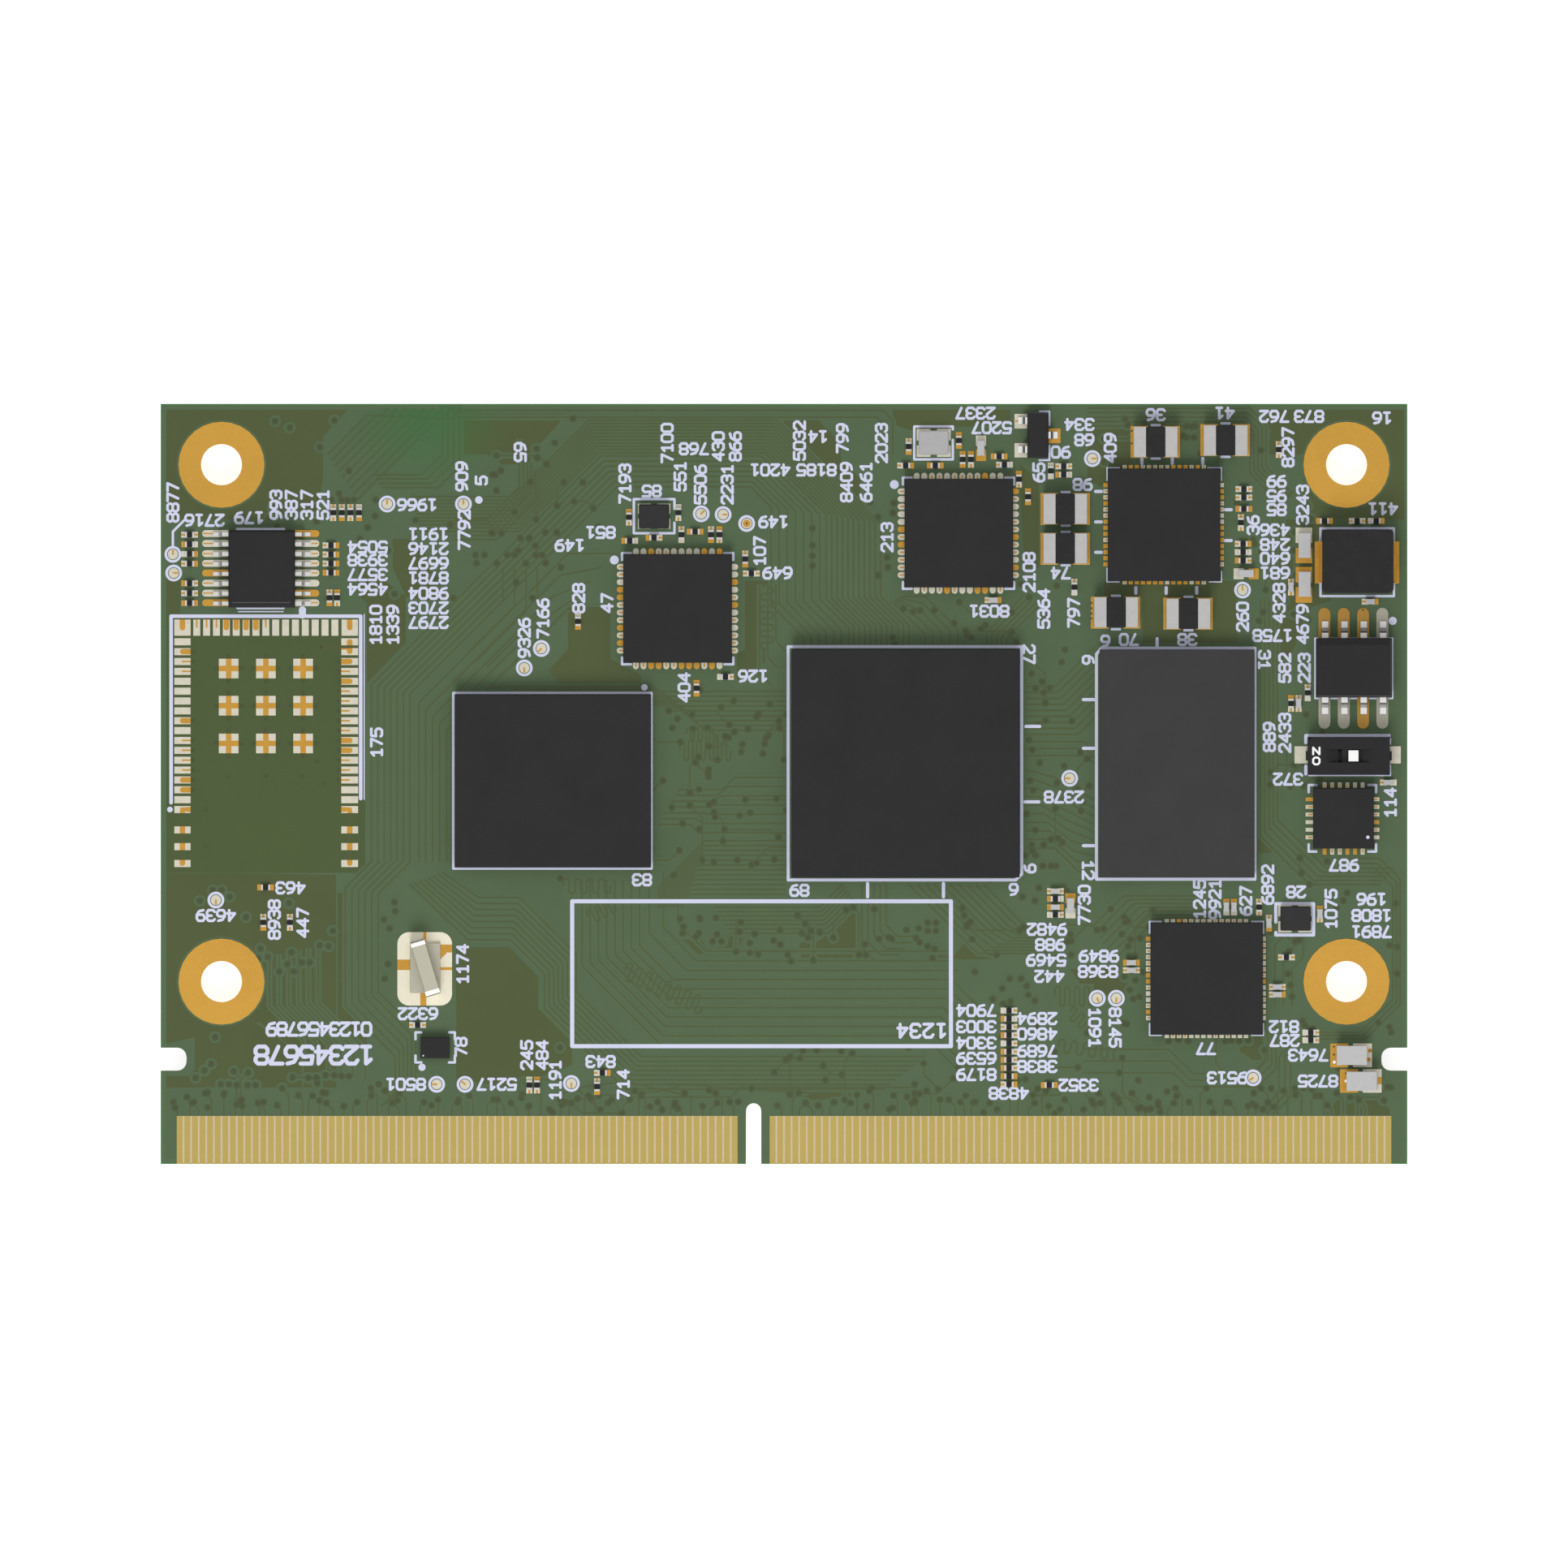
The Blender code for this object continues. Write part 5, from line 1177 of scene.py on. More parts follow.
# Other pads, left bare round larger parts
otherPads = [
    # power inductors: left and right of each body
    *[box for x, y in ((1424, 544.5), (1510, 542.3), (1313, 627), (1313, 676), (1375, 754.7), (1464.3, 756))
      for box in ((x - 31, y - 19.6, x - 9, y + 19.6, "gold"), (x + 9, y - 19.6, x + 30, y + 19.6, "gold"))],
    # input inductor
    (1620, 667, 1640, 718.5, "gold"), (1705, 667, 1724, 718.5, "gold"),
    # bulk capacitors
    (1639, 1285.7, 1661.5, 1315, "gold"), (1667, 1285.7, 1690.4, 1315, "solder"),
    (1651, 1317.4, 1673.5, 1346.3, "gold"), (1679, 1317.4, 1702.4, 1346.3, "solder"),
    # output capacitors
    (1596.4, 650, 1616.7, 669, "solder"), (1596.4, 675, 1616.7, 694, "gold"),
    (1596.4, 698.5, 1616.7, 717.8, "gold"), (1596.4, 723.2, 1616.7, 742.7, "gold"),
    # filter capacitors
    (1202.5, 536.5, 1215, 549.5, "solder"), (1202.5, 553.7, 1215, 568, "gold"),
    (1520, 700.3, 1532.5, 713.7, "solder"), (1538.5, 700.3, 1551, 713.7, "gold"),
    (1312.8, 1100.5, 1325.2, 1113, "gold"), (1312.8, 1119, 1325.2, 1131.5, "solder"),
    # diode pair
    (1250, 510, 1272, 528, "solder"), (1250, 546, 1272, 563.6, "solder"), (1286, 528, 1306.7, 546, "gold"),
    # crystals, four corners each
    *[box for x, y, halfX, halfY in ((806, 636, 20, 15.5), (1150.5, 545.7, 21, 17.3), (1595.5, 1132, 20.5, 17))
      for box in ((x - halfX, y - halfY, x - 4, y - 3, "solder"), (x + 4, y - halfY, x + halfX, y - 3, "solder"),
                  (x - halfX, y + 3, x - 4, y + halfY, "solder"), (x + 4, y + 3, x + halfX, y + halfY, "solder"))],
    # slide switch
    (1595, 919.5, 1613, 940.7, "solder"), (1710, 919.5, 1726, 940.7, "solder"),
]
otherPlating = [
    (521.5, 1148.5, 525.3, 1163, "gold"), (489.6, 1182.3, 506, 1195.3, "gold"), (542, 1163.8, 557, 1173.7, "gold"),
    (542, 1173.7, 550, 1176.2, "gold"), (542, 1176.2, 547.3, 1178.8, "gold"), (542, 1178.8, 544.6, 1181.4, "gold"),
    (542, 1191.7, 557, 1195.3, "gold"), (517.8, 1223, 525.3, 1239, "gold"),
    (1251, 517.5, 1257, 520, "gold"), (1287, 535, 1300, 538.5, "gold"), (1697.3, 1327, 1702.4, 1336, "gold"),
]
# holes drilled in those pads: place, radius and finish
drilled = [*[(x, y, 1.3, "viaMask") for x, y in (
    (1643.5, 1289.5), (1643.5, 1299.5), (1658.5, 1322.5), (1394.5, 531), (1394.5, 546.3), (1344.8, 743), (1344.8, 749.5),
    (1344.8, 756), (1344.8, 762), (1679.4, 751.3), (920, 645))],
    (1644, 1308.7, 1.9, "whitePlastic"), (1658.3, 1332, 1.7, "whitePlastic"),
    (1688, 1294.5, 2.6, "clipMetal"), (1686.5, 1305.5, 2.6, "clipMetal")]
# bare laminate between the contact fingers, in the four groups that the key slot parts
fingerGroups = {"top": ((217.8, 908.8), (948.3, 1714.3)), "under": ((213, 913.5), (943.6, 1719)), "from": 1375, "to": 1433.4}


def makeFingerGaps():
    bm = bmesh.new()
    for side, low, high in (("top", boardTop - 0.02 * mm, boardTop + 0.033 * mm),
                            ("under", boardUnder - 0.033 * mm, boardUnder + 0.02 * mm)):
        for left, right in fingerGroups[side]:
            first, last = fromPhoto(left, fingerGroups["to"], low), fromPhoto(right, fingerGroups["from"], high)
            size, middle = last - first, (first + last) / 2
            bmesh.ops.create_cube(bm, size=1, matrix=Matrix.Translation(middle) @ Matrix.Diagonal((*size, 1)))
    meshPiece("fingerGaps", bm, ["laminate"], slot="solder_mask")


makeFingerGaps()
addPads("otherPads", otherPads, padLook["rise"], corner=0.03)
addPads("otherPadPlating", otherPlating, padLook["goldRise"], corner=0.02)


def makeDrilled():
    level = boardTop + padLook["goldRise"] + 0.001 * mm - padLook["sunk"] / 2
    runs = [runTree(discTree, "drilled", linesMesh("drilled", [[fromPhoto(x, y, level)]]), finish,
                    Diameter=2 * radius * px, Thickness=padLook["sunk"], Sides=14) for x, y, radius, finish in drilled]
    keepPiece(joinPieces("drilledHoles", runs), slot="gold_plate")


makeDrilled()


# Leaded packages: pads, leads and bodies
leadLook = {"thickness": 0.15 * mm, "standoff": 0.1 * mm, "solderGap": 0.03 * mm, "inside": 0.2 * mm,
            "draft": 0.12 * mm, "band": 0.16 * mm, "bend": 0.06 * mm,
            # lead colours for flat, bend and slope: a painted highlight, painted shade and a middle tone
            "leadMetal": ((236, 236, 234), (60, 60, 61), (150, 150, 149)),
            "softLead": ((214, 214, 212), (125, 125, 124), (186, 186, 184))}
leadedParts = {
    "level_shifter": {"size": (4.4, 5.1, 1.0), "sides": (0, 180), "offsets": [(i - 3.5) * 0.65 for i in range(8)],
                      "width": 0.25, "reach": 1.0, "shoulder": 0.45, "heel": 0.6, "lead": "softLead",
                      "dot": (348.6, 731), "dotSize": 0.5,
                      "ridges": (("edgeHighlightGrey", 1.2, [(286, 742.5), (358, 742.5)]),)},
    "boot_flash": {"size": (5.0, 3.9, 1.5), "sides": (90, 270), "offsets": [(i - 1.5) * 1.27 for i in range(4)],
                   "width": 0.42, "reach": 1.1, "shoulder": 0.34, "heel": 0.58, "dot": None, "dotSize": 0,
                   "ridges": (("edgeShadeGrey", 9, [(1624, 790.5), (1712, 790.5)]), ("edgeHighlightGrey", 1, [(1623, 857.6), (1713, 857.6)]))},
    "diode_pair": {"size": (1.4, 3.0, 1.0), "sides": (0, 180), "offsets": [-0.95, 0.95], "single": 0,
                   "width": 0.45, "reach": 0.6, "shoulder": 0.3, "heel": 0.45, "dot": None, "dotSize": 0},
}


def makeLeadFinish(name):
    # Painted light and shade by the way each face turns: a painted highlight where it lies flat, painted shade round
    # its bends and a middle painted tone on the slope between them
    flat, bent, sloping = (linear(colour) for colour in leadLook[name])
    material, graph, shader, place = startFinish(name, {"Metallic": 0.2})
    turned = place.out("Normal")
    lift = graph.node("ShaderNodeSeparateXYZ", {}, {0: turned}).out("Z").size()
    fine = noise(graph, place, 0.3 * mm, 2.0)
    colour = mixColours(graph, lift > 0.55, sloping, bent)
    colour = mixColours(graph, lift > 0.97, colour, flat)
    graph.tree.links.new(colour.socket, shader.inputs["Base Color"])
    graph.tree.links.new((0.36 + fine * 0.08).socket, shader.inputs["Roughness"])
    return material


finishes.update({name: makeLeadFinish(name) for name in ("leadMetal", "softLead")})


def leadPath(edge, height, reach, shoulder, heel):
    leaves = leadLook["standoff"] + (height - leadLook["standoff"]) / 2
    foot = leadLook["solderGap"] + leadLook["thickness"] / 2
    return [(edge - leadLook["inside"], leaves), (edge + shoulder * reach, leaves),
            (edge + heel * reach, foot), (edge + reach, foot)]


def makeLeaded(node):
    look = leadedParts[node]
    low, high, middle, size = boxOf(node)
    centre = Vector((middle.x, middle.y, boardTop))
    if node == "diode_pair":
        # its lead on the right is as long as those on the left, so the box is even
        centre.x = (low.x + high.x) / 2
    length, width, height = (value * mm for value in look["size"])
    lines = []
    for side in look["sides"]:
        turn = math.radians(side)
        edge = (length if side in (0, 180) else width) / 2
        offsets = [0.0] if look.get("single") == side else look["offsets"]
        heading, across = Vector((math.cos(turn), math.sin(turn), 0)), Vector((-math.sin(turn), math.cos(turn), 0))
        for offset in offsets:
            path = leadPath(edge, height, look["reach"] * mm, look["shoulder"], look["heel"])
            lines.append([centre + heading * along + across * offset * mm + Vector((0, 0, z)) for along, z in path])
    leads = runTree(stripTree, node + "Leads", linesMesh("leads", lines), look.get("lead", "leadMetal"),
                    Width=look["width"] * mm, Thickness=leadLook["thickness"], Bend=leadLook["bend"])
    bm = bmesh.new()
    half = (height - leadLook["standoff"] - leadLook["band"]) / 2
    start, draft = leadLook["standoff"], leadLook["draft"]
    profile = [(draft, start), (0, start + half), (0, start + half + leadLook["band"]),
               (draft * 0.9, height - 0.03 * mm), (draft + 0.02 * mm, height)]
    addSolid(bm, centre, length, width, profile, 0.06 * mm)
    mesh = bpy.data.meshes.new(node + "Body")
    bm.to_mesh(mesh)
    bm.free()
    mesh.materials.append(finishes["mould"])
    body = addObject(node + "Body", mesh)
    pieces = [body, leads]
    if look["dot"]:
        dot = fromPhoto(*look["dot"], boardTop + height - 0.01 * mm)
        disc = runTree(discTree, node + "Dot", linesMesh("dot", [[dot]]), "ferrite",
                       Diameter=look["dotSize"] * mm, Thickness=0.022 * mm, Sides=24)
        pieces.append(disc)
    # Thin strips of painted highlight and painted shade along the edges of the top
    for finish, wide, ridge in look.get("ridges", ()):
        points = [fromPhoto(x, y, boardTop + height - 0.005 * mm) for x, y in ridge]
        pieces.append(runTree(stripTree, node + "Ridge", linesMesh("ridge", [points]), finish,
                              Width=wide * px, Thickness=0.014 * mm, Bend=0.0))
    keepPiece(joinPieces(node + "Dressed", pieces), replaced=[node], slot="package_black")


def makeLeadPads():
    boxes, plating = [], []
    leftY = (657.4, 669.6, 682.1, 694.1, 706, 718.5, 730.8, 742.7)
    for row, y in enumerate(leftY):
        boxes.append((249, y - 4.25, 288.5, y + 4.25, "gold" if row in (4, 7) else "solder"))
        boxes.append((354, y - 4.25, 393.5, y + 4.25, "gold" if row in (0, 6) else "solder"))
        if row not in (4, 7):
            plating.append((250, y - 0.8, 263, y + 0.8, "gold"))
        if row in (1, 2, 3, 4, 7):
            plating.append((384, y - 0.8, 392, y + 0.8, "gold"))
    # the boot flash pads take the darker copies, which are painted shade
    for column, x in enumerate((1631.9, 1655.7, 1679.5, 1703.2)):
        boxes.append((x - 7.3, 748.7, x + 7.3, 798.7, "dullSolder" if column == 3 else "dullGold"))
        boxes.append((x - 7.3, 848, x + 7.3, 898, "dullGold" if column == 2 else "dullSolder"))
    runs = []
    for finish in ("solder", "gold", "dullSolder", "dullGold"):
        for wide, tall in ((True, False), (False, True)):
            places = []
            for left, top, right, bottom, own in boxes:
                lying = right - left > bottom - top
                if own == finish and lying == wide:
                    middle = fromPhoto((left + right) / 2, (top + bottom) / 2, boardTop - padLook["sunk"])
                    places.append((middle, 0.0 if wide else math.pi / 2, 1.0, 1.0))
            length, width = (39.5, 8.5) if wide else (50, 14.6)
            if places:
                runs.append(runTree(blockTree, "lead" + finish, pointsMesh("lead", places), finish, Length=length * px,
                                    Width=width * px, Height=padLook["rise"] + padLook["sunk"],
                                    Corner=width * 0.49 * px, Chamfer=0.004 * mm))
    keepPiece(joinPieces("leadPads", runs), slot="gold_plate")
    addPads("leadPadPlating", plating, padLook["goldRise"], corner=0.01)


for node in leadedParts:
    makeLeaded(node)
makeLeadPads()


# Inductors, capacitors and crystals
chipBodies = {
    "power_inductor": {"core": "ferrite", "ends": "tin", "end": 0.83 * mm, "step": 0.012 * mm, "slot": "tinned_metal"},
    "bulk_capacitor": {"core": "ceramic", "ends": "ceramic", "end": 0.4 * mm, "step": 0.008 * mm, "slot": "capacitor_ceramic"},
    "output_capacitor": {"core": "ceramic", "ends": "ceramic", "end": 0.3 * mm, "step": 0.008 * mm, "slot": "capacitor_ceramic"},
    "filter_capacitor": {"core": "ceramic", "ends": "ceramic", "end": 0.2 * mm, "step": 0.006 * mm, "slot": "capacitor_ceramic"},
}


def makeEndCapped(node, look):
    low, high, middle, size = boxOf(node)
    turned = size.y > size.x
    turn = math.pi / 2 if turned else 0.0
    length, width = (size.y, size.x) if turned else (size.x, size.y)
    foot = Vector((middle.x, middle.y, low.z))
    bm = bmesh.new()
    soft = 0.03 * mm
    step = look["step"]
    core = [(0.02 * mm, step), (0, step + soft), (0, size.z - step - soft), (soft, size.z - step)]
    addSolid(bm, foot, length - 2 * look["end"] + 0.1 * mm, width - 2 * step, core, 0.01 * mm, turn, 0)
    for side in (-1, 1):
        cap = [(0.02 * mm, 0), (0, soft), (0, size.z - soft), (soft, size.z)]
        addSolid(bm, foot, look["end"], width, cap, 0.03 * mm, turn, 1, side * (length - look["end"]) / 2)
    meshPiece(node + "Dressed", bm, [look["core"], look["ends"]], replaced=[node], slot=look["slot"])


for node in sorted(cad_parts):
    look = chipBodies.get(node.rsplit("_", 1)[0])
    if look:
        makeEndCapped(node, look)

crystals = {"crystal_1": "crystalDark", "crystal_2": "crystalLight", "crystal_3": "crystalDark"}


def makeCrystal(node, lid):
    low, high, middle, size = boxOf(node)
    foot = Vector((middle.x, middle.y, low.z))
    bm = bmesh.new()
    rim = size.z - 0.1 * mm
    addSolid(bm, foot, size.x, size.y, [(0.0, 0), (0, rim - 0.02 * mm), (0.02 * mm, rim)], 0.08 * mm, 0, 0)
    cover = [(0.05 * mm, rim - 0.02 * mm), (0.05 * mm, size.z - 0.02 * mm), (0.07 * mm, size.z)]
    addSolid(bm, foot, size.x, size.y, cover, 0.15 * mm, 0, 1)
    meshPiece(node + "Dressed", bm, ["crystalBase" if lid == "crystalDark" else "tin", lid], replaced=[node], slot="dark_plastic")


for node, lid in crystals.items():
    makeCrystal(node, lid)


# Input inductor with its two clips
blockLook = {"length": 4.7 * mm, "width": 4.2 * mm, "height": 2.0 * mm, "corner": 0.3 * mm, "soft": 0.08 * mm,
             "clipWidth": 2.6 * mm, "clipThick": 0.2 * mm, "clipHeight": 1.1 * mm, "clipFoot": 0.9 * mm, "gap": 0.03 * mm}


def makeInputInductor():
    look = blockLook
    low, high, middle, size = boxOf("input_inductor")
    foot = Vector((middle.x, middle.y, boardTop + look["gap"] + look["clipThick"]))
    bm = bmesh.new()
    profile = [(look["soft"], 0), (0, look["soft"]), (0, look["height"] - look["soft"]),
               (look["soft"] * 0.3, look["height"] - look["soft"] * 0.3), (look["soft"], look["height"])]
    addSolid(bm, foot, look["length"], look["width"], profile, look["corner"])
    outside = look["length"] / 2 + look["clipThick"] / 2
    under, crown, soft = -look["clipThick"] / 2, look["clipHeight"], look["clipThick"] / 2
    for side in (-1, 1):
        path = [(outside - look["clipFoot"], under), (outside - soft, under), (outside, under + soft), (outside, crown),
                (outside - 2 * look["clipThick"], crown + look["clipThick"])]
        points = [foot + Vector((along * side, 0, z)) for along, z in path]
        addRibbon(bm, points, Vector((0, 1, 0)), look["clipWidth"], look["clipThick"], 1)
    bmesh.ops.recalc_face_normals(bm, faces=bm.faces)
    meshPiece("inputInductorDressed", bm, ["ferrite", "clipMetal"], replaced=["input_inductor"], slot="inductor_moulding")


makeInputInductor()


# Ground test loop
loopLook = {
    "plateLength": 2.0 * mm, "plateWidth": 3.3 * mm, "plateThick": 0.2 * mm, "strip": 3.74 * mm, "stripWidth": 0.97 * mm,
    "stripThick": 0.15 * mm, "height": 1.5 * mm, "bend": 0.08 * mm, "slant": 90 + 16.7, "gap": 0.03 * mm,
    "pad": (489.6, 1148.5, 557, 1239), "padCorner": 0.78 * mm, "endHighlightBand": 6.6 * px, "endShadeLine": 1 * px, "sideLine": 0.6 * px,
    # band is the painted highlight on the bent ends, line the painted shade beyond them
    "metal": (184, 180, 162), "band": (252, 251, 246), "line": (66, 66, 56), "fineLine": (140, 137, 112),
}


def makeLoopFinish(foot, heading):
    # A painted highlight across both bent ends, a dark line of painted shade beyond each and a fine one along each side
    look = loopLook
    material, graph, shader, place = startFinish("loopStrip", {"Metallic": 0.3})
    apart = graph.node("ShaderNodeSeparateXYZ", {}, {0: place})
    x, y = apart - foot.x, apart.out("Y") - foot.y
    along, across = (x * heading.x + y * heading.y).size(), (y * heading.x - x * heading.y).size()
    fine = noise(graph, place, 0.2 * mm, 2.0)
    end, side = look["strip"] / 2, look["stripWidth"] / 2
    colour = mixColours(graph, across > side - look["sideLine"], linear(look["metal"]), linear(look["fineLine"]))
    # painted highlight across each bent end
    colour = mixColours(graph, along > end - look["endHighlightBand"], colour, linear(look["band"]))
    # a dark line of painted shade at each end, on the faces that look up
    up = graph.node("ShaderNodeSeparateXYZ", {}, {0: graph.node("ShaderNodeTexCoord").out("Normal")}).out("Z")
    colour = mixColours(graph, (along > end - look["endShadeLine"]) * (up > 0.5), colour, linear(look["line"]))
    graph.tree.links.new(colour.socket, shader.inputs["Base Color"])
    graph.tree.links.new((0.4 + fine * 0.1).socket, shader.inputs["Roughness"])
    return material


def makeTestLoop():
    look = loopLook
    low, high, middle, size = boxOf("ground_test_loop")
    foot = Vector((middle.x, middle.y, boardTop + look["gap"]))
    left, top, right, bottom = look["pad"]
    made = runTree(blockTree, "loopPad",
                   pointsMesh("loopPad", [(fromPhoto((left + right) / 2, (top + bottom) / 2, boardTop - padLook["sunk"]), 0, 1, 1)]),
                   "brightSolder", Length=(right - left) * px, Width=(bottom - top) * px,
                   Height=padLook["rise"] + padLook["sunk"], Corner=look["padCorner"], Chamfer=0.004 * mm, Steps=12)
    keepPiece(made, slot="gold_plate")
    bm = bmesh.new()
    thick = look["plateThick"]
    addSolid(bm, foot, look["plateLength"], look["plateWidth"],
             [(0.03 * mm, 0), (0, 0.03 * mm), (0, thick - 0.04 * mm), (0.04 * mm, thick)], 0.05 * mm)
    end = (look["strip"] - look["stripThick"]) / 2
    crown = look["height"] - look["stripThick"] / 2
    rise = [(end - look["bend"], thick / 2), (end, thick + look["bend"]), (end, crown - look["bend"]), (end - look["bend"], crown)]
    path = [(-along, z) for along, z in rise] + rise[::-1]
    turn = math.radians(look["slant"])
    heading = Vector((math.cos(turn), math.sin(turn), 0))
    line = [foot + heading * along + Vector((0, 0, z)) for along, z in path]
    finishes["loopStrip"] = makeLoopFinish(foot, heading)
    addRibbon(bm, line, heading.cross(Vector((0, 0, 1))), look["stripWidth"], look["stripThick"], 1)
    bmesh.ops.recalc_face_normals(bm, faces=bm.faces)
    meshPiece("groundTestLoopDressed", bm, ["loopMetal", "loopStrip"], replaced=["ground_test_loop"], slot="tinned_metal")


makeTestLoop()
print("chips dressed")


# Printed lines, rings and figures
inkLook = {"rise": 0.0225 * mm, "sunk": 0.026 * mm, "stroke": 3.3, "height": 16.4, "width": 9.4, "pitch": 12.5, "seed": 11}
# Width of the line and its points
inkLines = [
    (3.7, [(971.2, 796.8), (1258.8, 796.8), (1258.8, 1077), (1251.5, 1084.2), (971.2, 1084.2), (971.2, 796.8)]),
    (3.7, [(1357, 798.6), (1546.3, 798.6), (1546.3, 1083.3), (1351, 1083.3), (1351, 806), (1357, 798.6)]),
    (3, [(558.5, 853.7), (802.8, 853.7), (802.8, 1070.2), (558.5, 1070.2), (558.5, 853.7)]),
    (5, [(705, 1110.5), (1171.7, 1110.5), (1171.7, 1289), (705, 1289), (705, 1110.5)]),
    (4, [(1264, 895), (1281, 895)]), (4, [(1263, 988), (1280, 988)]),
    (4, [(1069, 1088.5), (1069, 1105)]), (4, [(1162.5, 1088.5), (1162.5, 1105)]),
    (4, [(1335, 862), (1348, 862)]), (4, [(1335, 922), (1348, 922)]), (4, [(1335, 1042), (1348, 1042)]),
    (4, [(1425.7, 787), (1425.7, 797)]),
    *[(4, [(1350, y), (1357, y)]) for y in (605.5, 643, 680.5)],
    *[(4, [(x, 724), (x, 731)]) for x in (1399.5, 1437, 1474.5)],
    *[(4, [(x, 565), (x, 571)]) for x in (1407, 1444.5, 1482)],
    *[(4, [(1510, y), (1517, y)]) for y in (628, 666)],
    *[(1.5, line) for line in (
        [(1379, 576.3), (1364, 576.3), (1364, 592)], [(1364, 700), (1364, 717), (1379, 717)],
        [(1488, 576.3), (1505, 576.3), (1505, 592)], [(1505, 704), (1505, 717), (1490, 717)])],
    # transceiver corners
    *[(3, [(x + sx * 57.5, y + sy * 68.5), (x + sx * 68.5, y + sy * 68.5), (x + sx * 68.5, y + sy * 60)])
      for x, y in ((835, 750), (1181, 657)) for sx in (-1, 1) for sy in (-1, 1)],
    # hub corners
    *[(2.5, [(1486.5 + sx * 56, 1205.5 + sy * 69.8), (1486.5 + sx * 69.8, 1205.5 + sy * 69.8), (1486.5 + sx * 69.8, 1205.5 + sy * 56)])
      for sx, sy in ((-1, -1), (-1, 1), (1, -1), (1, 1))],
    # expander and clock corners
    *[(3, [(1654 + sx * 32, 1008.2 + sy * 41), (1654 + sx * 41.5, 1008.2 + sy * 41), (1654 + sx * 41.5, 1008.2 + sy * 32)])
      for sx in (-1, 1) for sy in (-1, 1)],
    *[(3, [(536.2 + sx * 17, 1290.5 + sy * 18.5), (536.2 + sx * 24.2, 1290.5 + sy * 18.5), (536.2 + sx * 24.2, 1290.5 + sy * 10)])
      for sx in (-1, 1) for sy in (-1, 1)],
    # level shifter
    (3, [(292, 652), (350, 652)]), (4, [(293, 748.8), (349, 748.8)]), (1.4, [(294, 753.6), (349, 753.6)]),
    # radio place
    (4.4, [(210.8, 989), (210.8, 759.2), (444.4, 759.2), (444.4, 984)]), (1.4, [(448.7, 757), (448.7, 985)]),
    (8.6, [(372.6, 752.2), (372.6, 758)]),
    # diode pair
    (2.4, [(1281, 507), (1293, 507), (1293, 524)]), (2.4, [(1293, 549), (1293, 567), (1280.6, 567)]),
    # crystals
    (3, [(831, 627), (831, 615), (781, 615), (781, 657), (831, 657), (831, 644)]),
    (3, [(1174, 529), (1174, 525.5), (1126.5, 525.5), (1126.5, 566), (1174, 566), (1174, 542)]),
    (4, [(1572, 1136), (1572, 1113.5), (1618.5, 1113.5), (1618.5, 1152), (1572, 1152), (1572, 1149)]),
    # power inductors
    *[(3, [(x - 5, y + side * 20.6), (x + 5, y + side * 20.6)]) for side in (-1, 1)
      for x, y in ((1424, 544.5), (1510, 542.3), (1313, 627), (1313, 676), (1375, 754.7), (1464.3, 756))],
    # input inductor
    (3, [(1627, 667), (1627, 651), (1717.5, 651), (1717.5, 667)]), (3, [(1627, 718), (1627, 734.5), (1717.5, 734.5), (1717.5, 718)]),
    # slide switch
    (4, [(1609, 915), (1609, 906.3), (1711.5, 906.3)]), (4, [(1609, 944), (1609, 953.5)]),
    (1.5, [(1713.3, 910), (1713.3, 917)]), (1.5, [(1713.3, 942), (1713.3, 955.6), (1612.5, 955.6)]),
    # leader of a test point
    (3, [(213, 675), (213, 655), (227, 641)]),
    # boot flash
    (2, [(1620.3, 786.5), (1715.8, 786.5), (1715.8, 860.6), (1620.3, 860.6), (1620.3, 786.5)]),
]
inkDots = [(757, 690, 5.5), (1102, 597, 5.5), (209.4, 997.4, 3.5), (520, 1315, 4.5), (590, 616, 4.7), (794, 847, 4),
           (1716, 765, 5), (372.6, 751.6, 4.5)]
bodyDots = [("port_expander", 1685.4, 1031.6, 2.1), ("clock_chip", 521.5, 1300.8, 1)]
# Place of each test point and the way that its bare gold points, in degrees, or none where it is round
testPoints = [
    (213, 683, 90), (214, 706, 0), (477, 621, 90), (571, 621, 90), (646, 823, 270), (667, 799, 225), (864, 633, 45),
    (891, 634, 0), (920, 645, None), (1346, 565, 0), (1531, 727, 90), (1318, 959, 180), (1352, 1230, 290), (1375.5, 1230, 270),
    (1544, 1328, 215), (538, 1336, 180), (573, 1336, 140), (704, 1335, 270), (266, 1109, 270),
]
testPointLook = {"ring": 17.5, "line": 3.2, "dot": 12.6, "reach": 5.6, "stub": 2.2, "round": 9.4}

